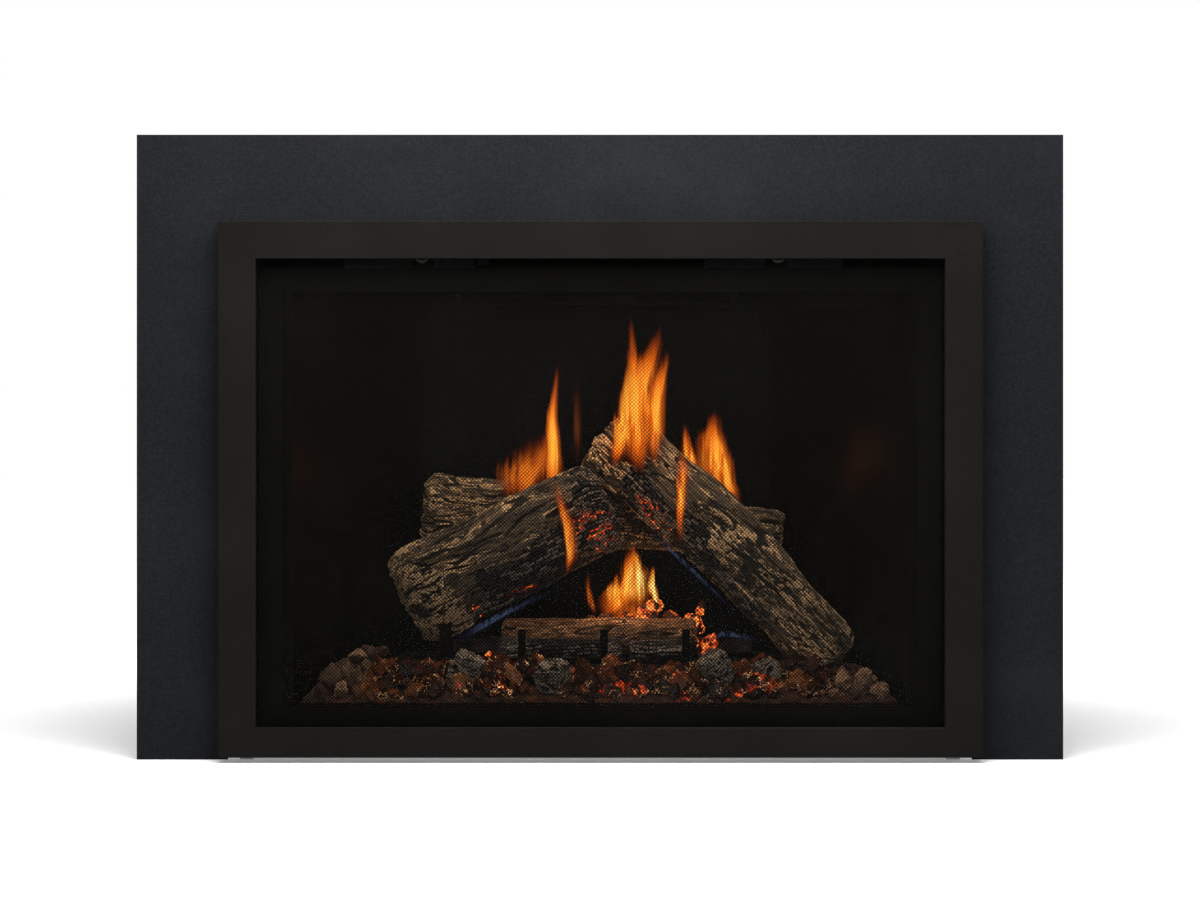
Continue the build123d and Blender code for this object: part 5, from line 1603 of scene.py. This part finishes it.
@dataclass
class GlassChips:
    """Crushed fire glass lying on the bed's front slope, whose foot and head are given as Y and Z."""

    count: int = 290
    half_run: float = 0.262
    front: float = -0.1675
    back: float = -0.1040
    foot: tuple[float, float] = (-0.166, 0.063)
    head: tuple[float, float] = (-0.088, 0.097)
    smallest: float = 0.0055
    largest: float = 0.0165
    planes: int = 10
    nearest: float = 0.6
    sharp: float = 8.0
    seed: int = 71

    def height_at(self, y: float) -> float:
        """Height of the bed's slope at y."""
        share = (y - self.foot[0]) / (self.head[0] - self.foot[0])
        return self.foot[1] + share * (self.head[1] - self.foot[1])

    def dress(self, palette: Palette) -> None:
        """Breaks and scatters the lumps, keeps their tint and a painted glow that stands in for firelight through
        them, and puts them in the node's place.

        Args:
            palette: the finishes.
        """
        rng, noise, pile = loose_kit(self.seed, 4)
        for _ in range(self.count):
            size = self.smallest + (self.largest - self.smallest) * rng.random() ** 1.5
            y = rng.uniform(self.front + size * 0.8, self.back)
            x = rng.uniform(-self.half_run, self.half_run)
            centre = np.array([x, y, self.height_at(y) + size * rng.uniform(0.2, 0.8)])
            shape = pile.ball.lump(rng, self.planes, self.nearest, self.sharp)
            stretch = rng.uniform(0.65, 1.05, 3) * size
            points = centre + shape * stretch
            wave = noise.smooth(points / 0.006) - 0.5
            points = points + pile.ball.directions * (wave * size * 0.30)[:, None]
            points[:, 1] = np.maximum(points[:, 1], self.front)
            warmth = float(ember_warmth(centre[None])[0])
            # Some lumps get a painted glow, more near the hot middle of the bed, in place of the fire's light
            # through the glass.
            hot = (0.25 + 0.6 * warmth) * rng.uniform(0.3, 1.0) if rng.random() < 0.25 + 0.35 * warmth else 0.12
            veins = noise.layered(points / 0.008 + 30.0, 2)
            tint = np.clip(rng.random() ** 1.6 + 0.5 * (veins - 0.5), 0, 1)
            pile.add(points, tint=tint, ember=hot * (0.35 + 0.65 * ease(veins, 0.42, 0.62)))
        palette.settle(pile.piece("fire_glass"), "amber_glass", FIXED_BODY, "amber_glass", "glass_chips")


@dataclass
class EmberLumps:
    """Glowing lumps of ember material piled behind the middle log, resting on bed and burner.

    Each spot is X, Y, Z, size and heat from 0 to 1.
    """

    spots: tuple[tuple[float, float, float, float, float], ...] = (
        (-0.022, -0.012, 0.114, 0.015, 0.35), (0.004, -0.013, 0.116, 0.017, 0.45),
        (0.030, -0.012, 0.117, 0.018, 0.7), (0.056, -0.012, 0.117, 0.018, 0.9),
        (0.082, -0.012, 0.116, 0.017, 0.75), (0.108, -0.013, 0.115, 0.017, 0.85),
        (0.132, -0.016, 0.112, 0.014, 0.8), (0.012, -0.010, 0.138, 0.014, 0.55),
        (0.037, -0.009, 0.141, 0.016, 0.8), (0.062, -0.010, 0.143, 0.017, 1.0),
        (0.090, -0.010, 0.140, 0.015, 0.7), (0.116, -0.012, 0.137, 0.015, 0.95),
        (-0.060, -0.014, 0.114, 0.014, 0.25), (-0.010, -0.010, 0.135, 0.012, 0.35),
        (0.122, -0.060, 0.104, 0.008, 0.9), (0.132, -0.066, 0.103, 0.007, 0.8),
        (-0.128, -0.066, 0.103, 0.007, 0.9), (-0.120, -0.060, 0.104, 0.006, 0.7),
        (0.070, -0.008, 0.157, 0.009, 1.0), (0.126, -0.010, 0.154, 0.009, 0.9),
    )
    planes: int = 11
    nearest: float = 0.6
    sharp: float = 9.0
    seed: int = 83

    def dress(self, palette: Palette) -> None:
        """Cuts and crumbles each lump and joins them in one piece.

        Args:
            palette: the finishes.
        """
        rng, noise, pile = loose_kit(self.seed, 5)
        for x, y, z, size, hot in self.spots:
            shape = pile.ball.lump(rng, self.planes, self.nearest, self.sharp)
            points = np.array([x, y, z]) + shape * size * rng.uniform(0.75, 1.05, 3)
            rough = noise.layered(points / 0.007, 4, 0.6)
            near, second = noise.cells(points / 0.0065, 0.9)
            crack = ease(second - near, 0.16, 0.02)
            points = points + pile.ball.directions * ((rough - 0.55) * 0.008 - crack * 0.0012)[:, None]
            patch = ease(noise.smooth(points / 0.009 + 7.0), 0.40, 0.62)
            ember = np.clip(hot * (0.15 + 0.62 * patch + 0.30 * crack), 0, 1)
            pile.add(points, height=np.clip(rough * 1.3, 0, 1), ember=ember)
        palette.settle(pile.piece("ember_lumps"), "ember_fibre", FIXED_BODY, "ember_fibre")


# ---------------------------------------------------------------- springs and screen


@dataclass
class ReliefSprings:
    """The springs under the glass latches, which shorten as the glass moves out against them; this piece keeps them
    at rest.
    """

    fixed_y: float = -0.1982
    travel: float = 0.006

    def dress(self, palette: Palette) -> None:
        """Copies the coils into a piece of their own.

        Args:
            palette: the finishes.
        """
        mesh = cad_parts["latch_springs"].data
        points, faces = points_of(mesh), [tuple(face.vertices) for face in mesh.polygons]
        obj = add_mesh("relief_springs", points, faces, smooth=True)
        palette.settle(obj, "zinc_fasteners", FIXED_BODY, "zinc_fasteners", "latch_springs")
        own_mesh(obj)


@dataclass
class MeshScreen:
    """The woven screen behind the front frame's opening: two crossing sets of fine wires."""

    half_width: float = 0.393
    bottom: float = 0.031
    top: float = 0.571
    y: float = -0.2075
    pitch: float = 0.00297
    wire_r: float = 0.00038
    sides: int = 6
    rim: float = 0.006
    rim_half: float = 0.0009
    rim_flat: float = 0.0005
    rim_edge: float = 0.0006
    rim_pressed: float = 0.55
    touch: float = 1e-7

    def wires(self, slope: int, y: float) -> tuple[list[Triple], Faces]:
        """One set of parallel wires, clipped to the screen.

        Args:
            slope: 1 for wires rising to the right, -1 for the others.
            y: depth of their centres.

        Returns:
            Points and faces.
        """
        points: list[Triple] = []
        faces: Faces = []
        step = self.pitch * math.sqrt(2)
        count = int((self.half_width + self.top - self.bottom) / step) + 1
        for foot in (number * step for number in range(-count, count + 1)):
            ends = [(x, self.bottom + slope * (x - foot)) for x in (-self.half_width, self.half_width)]
            ends += [(foot + slope * (z - self.bottom), z) for z in (self.bottom, self.top)]
            inside = sorted({(round(x, 7), round(z, 7)) for x, z in ends if self.holds(x, z)})
            if len(inside) < 2:
                continue
            start = len(points)
            for x, z in (inside[0], inside[-1]):
                for k in range(self.sides):
                    a = 2 * math.pi * k / self.sides
                    off = self.wire_r * math.sin(a) / math.sqrt(2)
                    points.append((x - slope * off, y + self.wire_r * math.cos(a), z + off))
            for k in range(self.sides):
                near, far = start + (k + 1) % self.sides, start + self.sides
                faces.append((start + k, near, near + self.sides, far + k))
        return points, faces

    def holds(self, x: float, z: float) -> bool:
        """Whether a place lies within the screen's edges."""
        within = abs(x) <= self.half_width + self.touch
        return within and self.bottom - self.touch <= z <= self.top + self.touch

    def rim_band(self) -> tuple[list[Triple], Faces]:
        """The folded metal band round the screen's edge, with rounded faces.

        Returns:
            Points and faces.
        """
        edge, inner, thick = self.rim_edge, self.rim - self.rim_edge, self.rim_half
        front = [(0.0, -self.rim_flat), (edge, -thick), (inner, -thick), (self.rim, -self.rim_flat)]
        profile = front + [(inward, -depth) for inward, depth in reversed(front)]
        points: list[Triple] = []
        faces: Faces = []
        for sx, sz in ((-1, -1), (1, -1), (1, 1), (-1, 1)):
            for inward, depth in profile:
                x = sx * (self.half_width - inward)
                z = self.bottom + inward if sz < 0 else self.top - inward
                points.append((x, self.y + depth * self.rim_pressed, z))
        count = len(profile)
        for corner in range(4):
            for k in range(count):
                a, b = corner * count + k, corner * count + (k + 1) % count
                c, d = (a + count) % (4 * count), (b + count) % (4 * count)
                faces.append((a, b, d, c))
        return points, faces

    def dress(self, palette: Palette) -> None:
        """Builds wires and band as one piece in the node's place.

        Args:
            palette: the finishes.
        """
        points: list[Triple] = []
        faces: Faces = []
        parts = (self.wires(1, self.y - self.wire_r), self.wires(-1, self.y + self.wire_r), self.rim_band())
        for more, shapes in parts:
            faces += [tuple(i + len(points) for i in shape) for shape in shapes]
            points += more
        obj = add_mesh("fine_screen", np.array(points), faces)
        palette.settle(obj, "screen_wire", FRONT_BODY, "screen_wire", "mesh_screen")


# ---------------------------------------------------------------- fire


@dataclass(frozen=True)
class Viewpoint:
    """The photograph's eye: where it stands, and where a pixel of it lies at a given depth.

    Plane is the distance from the eye at which a pixel has the size of metres_per_pixel, and middle
    is the pixel at X and Z of 0 there.
    """

    eye: Triple = (-0.060, -3.190, 0.420)
    plane: float = 3.0
    metres_per_pixel: float = 0.001127
    middle: tuple[float, float] = (600.0, 759.5)

    def spot(self, px: float, py: float, y: float) -> tuple[float, float]:
        """X and Z of the pixel px, py on the plane at y.

        Args:
            px: pixel across.
            py: pixel down.
            y: depth of the plane.

        Returns:
            X and Z in metres.
        """
        share = (y - self.eye[1]) / self.plane
        x = (px - self.middle[0]) * self.metres_per_pixel
        z = (self.middle[1] - py) * self.metres_per_pixel
        return (self.eye[0] + (x - self.eye[0]) * share, self.eye[2] + (z - self.eye[2]) * share)


@dataclass(frozen=True)
class Tongue:
    """One flame: stations of pixel across, pixel down and half width in pixels, from foot to tip."""

    stations: tuple[Triple, ...]
    depth: float
    finish: str = "yellow_flame"
    crossed: int = 3
    bulge: float = 0.35


@dataclass
class Fire:
    """The lit state: flames from the burner, blue gas along the logs and the light they give.

    Each glow is a name, a place, watts and a radius.
    """

    view: Viewpoint = field(default_factory=Viewpoint)
    tongues: tuple[Tongue, ...] = (
        Tongue(((612, 470, 5), (618, 450, 11), (626, 425, 17), (634, 395, 16), (635, 365, 11),
                (632, 340, 6), (630, 314, 2)), -0.022, bulge=0.2),
        Tongue(((640, 475, 9), (638, 450, 17), (638, 420, 19), (641, 390, 18), (648, 365, 16),
                (655, 345, 10), (661, 325, 2)), -0.030),
        Tongue(((655, 468, 4), (655, 440, 12), (654, 415, 14), (658, 390, 11), (665, 365, 7),
                (669, 345, 2)), -0.038),
        Tongue(((634, 470, 20), (634, 440, 30), (640, 405, 28), (648, 370, 22),
                (650, 340, 12)), -0.016, "dim_flame"),
        Tongue(((554, 500, 10), (553, 470, 13), (553, 440, 10), (552, 415, 7), (556, 385, 4),
                (559, 352, 1.5)), 0.020),
        Tongue(((508, 500, 14), (524, 482, 20), (540, 462, 20), (550, 435, 11), (554, 405, 5)), 0.034, "dim_flame"),
        Tongue(((578, 470, 6), (577, 430, 7), (577, 400, 6), (578, 370, 2)), 0.026, "faint_flame", 2),
        Tongue(((500, 498, 18), (516, 480, 30), (536, 458, 26), (552, 430, 14)), 0.038, "dim_flame"),
        Tongue(((742, 512, 4), (730, 488, 11), (718, 462, 19), (712, 440, 18), (714, 422, 11),
                (717, 406, 2)), 0.034),
        Tongue(((696, 486, 7), (690, 462, 10), (686, 442, 7), (684, 420, 2)), 0.030),
        Tongue(((718, 512, 14), (714, 480, 26), (706, 450, 24), (702, 425, 10)), 0.040, "dim_flame"),
        Tongue(((681, 550, 2.5), (680, 520, 6), (681, 490, 10), (684, 462, 12),
                (680, 440, 4)), -0.074, "dim_flame"),
        Tongue(((679, 535, 3), (680, 500, 7), (682, 470, 7), (681, 448, 2)), -0.076, "yellow_flame", 1),
        Tongue(((566, 578, 2.5), (571, 555, 5), (568, 530, 5), (560, 502, 4.5),
                (555, 474, 2)), -0.106, "yellow_flame", 1),
        Tongue(((570, 575, 6), (573, 552, 9), (569, 525, 9), (558, 495, 7), (552, 470, 3)), -0.108, "dim_flame", 2),
        Tongue(((598, 612, 14), (614, 604, 18), (625, 588, 17), (629, 572, 13), (632, 556, 9),
                (634, 541, 2)), -0.004),
        Tongue(((634, 608, 12), (637, 592, 18), (637, 575, 15), (635, 558, 8),
                (634, 546, 2)), -0.008, "bright_flame"),
        Tongue(((657, 618, 3), (656, 602, 5), (652, 586, 6), (653, 572, 4), (655, 563, 1)), -0.010, "bright_flame"),
        Tongue(((596, 616, 4), (591, 602, 5), (588, 588, 4), (588, 564, 1)), 0.000, "dim_flame"),
        Tongue(((615, 632, 22), (628, 618, 26), (640, 606, 22), (648, 590, 12)), -0.002, "dim_flame"),
        Tongue(((448, 643, 4), (476, 630, 6), (510, 611, 5), (545, 595, 4.5),
                (576, 577, 3)), -0.094, "blue_flame", 2),
        Tongue(((640, 522, 2), (668, 548, 3), (700, 578, 3.2), (728, 605, 3),
                (748, 626, 2)), -0.066, "blue_flame", 2),
        Tongue(((705, 640, 4), (725, 634, 5), (748, 638, 5), (768, 645, 3)), -0.040, "blue_flame", 2),
    )
    glows: tuple[tuple[str, Triple, float, float], ...] = (
        ("upper_glow", (0.020, -0.045, 0.390), 0.60, 0.05), ("lower_glow", (0.030, -0.015, 0.190), 0.95, 0.03),
    )
    glow_colour: Triple = (1.0, 0.48, 0.16)
    rows: int = 48
    columns: int = 15
    ripple: float = 0.16

    def sheet(self, name: str, tongue: Tongue, turn: float, phase: float) -> Piece:
        """One curved sheet of a tongue.

        Args:
            name: name of the piece.
            tongue: the flame.
            turn: how far the sheet is turned about the flame's own line, in radians.
            phase: where its ripples start.

        Returns:
            The sheet, with its across and along values.
        """
        to_metres = self.view.metres_per_pixel
        stations = ((*self.view.spot(px, py, tongue.depth), half * to_metres) for px, py, half in tongue.stations)
        line = np.array(list(stations))
        steps = np.linspace(0, len(line) - 1, self.rows)
        index = np.minimum(steps.astype(int), len(line) - 2)
        part = (steps - index)[:, None]
        ease_part = part * part * (3 - 2 * part)
        rows = line[index] * (1 - part) + line[index + 1] * part
        rows[:, 2] = (line[index, 2:3] * (1 - ease_part) + line[index + 1, 2:3] * ease_part)[:, 0]
        rows[:, :2] = smoothed(rows[:, :2], 5)
        heading = np.gradient(rows[:, :2], axis=0)
        heading /= np.linalg.norm(heading, axis=1)[:, None] + 1e-9
        points, across, along = [], [], []
        for i, (x, z, half) in enumerate(rows):
            share = i / (self.rows - 1)
            for k in range(self.columns):
                a = -1 + 2 * k / (self.columns - 1)
                wave = self.ripple * math.sin(7.5 * share + phase + 1.6 * a)
                flat = a * half
                deep = tongue.bulge * half * (a * a - 0.4) + wave * half
                side = flat * math.cos(turn) - deep * math.sin(turn)
                back = flat * math.sin(turn) + deep * math.cos(turn)
                points.append((x + side * heading[i, 1], tongue.depth + back, z - side * heading[i, 0]))
                across.append(a)
                along.append(share)
        obj = add_mesh(name, np.array(points), grid_faces(self.rows, self.columns), smooth=True)
        set_values(obj, "across", np.array(across))
        set_values(obj, "along", np.array(along))
        return obj

    def dress(self, palette: Palette) -> None:
        """Builds every flame and the soft light that they give.

        Args:
            palette: the finishes.
        """
        for number, tongue in enumerate(self.tongues):
            for turned in range(tongue.crossed):
                turn = math.pi * turned / tongue.crossed
                obj = self.sheet(f"flame_{number:02d}_{turned}", tongue, turn, 1.3 * number + 2.1 * turned)
                palette.settle(obj, tongue.finish, FIXED_BODY)
        for name, place, power, radius in self.glows:
            lamp = bpy.data.lights.new(name, "POINT")
            lamp.energy, lamp.color, lamp.shadow_soft_size = power, self.glow_colour, radius
            hang(lamp, place)


def smoothed(rows: Array, rounds: int) -> Array:
    """Averages each inner row with its neighbours.

    Args:
        rows: the rows.
        rounds: how many times.

    Returns:
        The smoothed rows.
    """
    for _ in range(rounds):
        rows = np.vstack([rows[:1], (rows[:-2] + 2 * rows[1:-1] + rows[2:]) / 4, rows[-1:]])
    return rows


# ---------------------------------------------------------------- studio


@dataclass
class Studio:
    """Pale floor, soft lamps, white surroundings and the camera."""

    view: Viewpoint = field(default_factory=Viewpoint)
    focal: float = 79.87
    sensor: float = 36.0
    shift: tuple[float, float] = (0.0444, -0.0527)
    clip: tuple[float, float] = (0.05, 60.0)
    floor_half: float = 9.0
    floor_z: float = -0.0004
    floor_lines: int = 24
    floor_dark: Triple = (0.76, 0.76, 0.76)
    floor_light: Triple = (0.80, 0.80, 0.80)
    world_level: float = 0.18
    accent_colour: Triple = (1.0, 0.90, 0.76)
    accent_tilt: float = math.radians(16)

    def white_where_seen(self, wiring: Wiring) -> Socket:
        """Tells seen rays from those that only light.

        Args:
            wiring: the shader's wiring.

        Returns:
            1 for rays from the camera, off gloss or through glass, else 0.
        """
        path = wiring.put("LightPath").outputs
        seen = wiring.math("MAXIMUM", path["Is Camera Ray"], path["Is Glossy Ray"])
        return wiring.math("MAXIMUM", seen, path["Is Transmission Ray"])

    def build_world(self) -> None:
        """White where it is seen, and a plain soft level as light."""
        world = bpy.data.worlds.new("studio")
        bpy.context.scene.world = world
        w = wired(world)
        level = w.plus(w.times(self.white_where_seen(w), 1.0 - self.world_level), self.world_level)
        back = w.put("Background", {"Color": WHITE, "Strength": level})
        w.put("OutputWorld", {"Surface": back.outputs[0]})

    def build_floor(self) -> None:
        """A pale floor with a soft grain that keeps the object's shadow, is painted darker round the object's foot,
        and is clear from below.
        """
        lines = np.linspace(-self.floor_half, self.floor_half, self.floor_lines)
        points = np.array([(x, y, self.floor_z) for y in lines for x in lines])
        floor = add_mesh("studio_floor", points, grid_faces(self.floor_lines, self.floor_lines))
        material = bpy.data.materials.new("studio_floor")
        w = wired(material)
        tone = w.mix(w.noise(60.0, 4.0), self.floor_dark, self.floor_light)
        shader = w.put("BsdfPrincipled", {"Base Color": tone, "Roughness": 0.9, "Specular IOR Level": 0.1})
        away = w.put("VectorMath", {0: w.mapped((1.0, 1.6, 1.0))}, operation="LENGTH").outputs["Value"]
        # The camera-only brightening is weaker near the object, which paints a darker pool of shade round its foot.
        lift = w.times(self.white_where_seen(w), w.span(away, 0.45, 1.40, 0.22, 0.85))
        lift = w.put("Emission", {"Color": WHITE, "Strength": lift})
        both = w.put("AddShader", {0: shader.outputs[0], 1: lift.outputs[0]}).outputs[0]
        below = w.put("NewGeometry").outputs["Backfacing"]
        seen = w.put("MixShader", {0: below, 1: both, 2: w.put("BsdfTransparent").outputs[0]})
        w.put("OutputMaterial", {"Surface": seen.outputs[0]})
        floor.data.materials.append(material)

    def add_lamp(self, name: str, place: Triple, target: Triple, size: float, power: float) -> Piece:
        """One square soft lamp.

        Args:
            name: name of the lamp.
            place: where it hangs.
            target: what it points at.
            size: side of its square.
            power: watts.

        Returns:
            The lamp, which shows in shiny surfaces.
        """
        lamp = bpy.data.lights.new(name, "AREA")
        lamp.size, lamp.energy = size, power
        holder = hang(lamp, place)
        holder.rotation_mode = "QUATERNION"
        holder.rotation_quaternion = (Vector(target) - Vector(place)).to_track_quat("-Z", "Y")
        holder.visible_glossy = True
        return holder

    def build_lamps(self) -> None:
        """A high key from the left, a weaker fill from the right, a rear light and an unmirrored top one."""
        self.add_lamp("key", (-1.7, -2.6, 2.3), (0.0, -0.1, 0.35), 1.8, 6.5)
        self.add_lamp("fill", (2.2, -2.3, 1.6), (0.0, -0.1, 0.35), 1.6, 3.5)
        top = self.add_lamp("top", (0.0, -0.75, 1.20), (0.0, -0.2, 0.55), 1.1, 38.0)
        top.visible_glossy = False
        self.add_lamp("rear", (0.5, 2.3, 1.8), (0.0, 0.1, 0.3), 1.8, 16.0)

    def build_inside_light(self) -> None:
        """A weak strip under the firebox roof that lifts the logs, as the real fire does."""
        lamp = bpy.data.lights.new("accent", "AREA")
        lamp.shape, lamp.size, lamp.size_y, lamp.energy = "RECTANGLE", 0.60, 0.03, 1.7
        lamp.color = self.accent_colour
        hang(lamp, (0.0, -0.150, 0.531)).rotation_euler = (self.accent_tilt, 0.0, 0.0)

    def build_camera(self) -> None:
        """The photograph's viewing angle, level, with the small shift of its framing."""
        camera = bpy.data.cameras.new("camera")
        camera.lens, camera.sensor_width = self.focal, self.sensor
        camera.shift_x, camera.shift_y = self.shift
        camera.clip_start, camera.clip_end = self.clip
        holder = hang(camera, self.view.eye)
        holder.rotation_euler = (math.radians(90), 0.0, 0.0)
        bpy.context.scene.camera = holder

    def build(self) -> None:
        """Sets up the whole studio."""
        bpy.context.scene.view_settings.view_transform = "Standard"
        self.build_world()
        self.build_floor()
        self.build_lamps()
        self.build_inside_light()
        self.build_camera()
        LOGGER.info("studio ready")


def main() -> None:
    """Builds the finishes, dresses the frame and adds the carved and loose pieces in order."""
    logging.basicConfig(level=logging.INFO, format="%(name)s %(message)s")
    palette = Palette(Effects())
    palette.dress_frame()
    soften_edges(("front_frame", "surround_top", "surround_left", "surround_right", "glass_frame"))
    groups = (
        LogSet(), EmberBed(), RiverRocks(), CharChunks(), GlassChips(), EmberLumps(), ReliefSprings(),
        MeshScreen(), Fire(),
    )
    for group in groups:
        group.dress(palette)
    Studio().build()


if __name__ == "__main__":
    main()
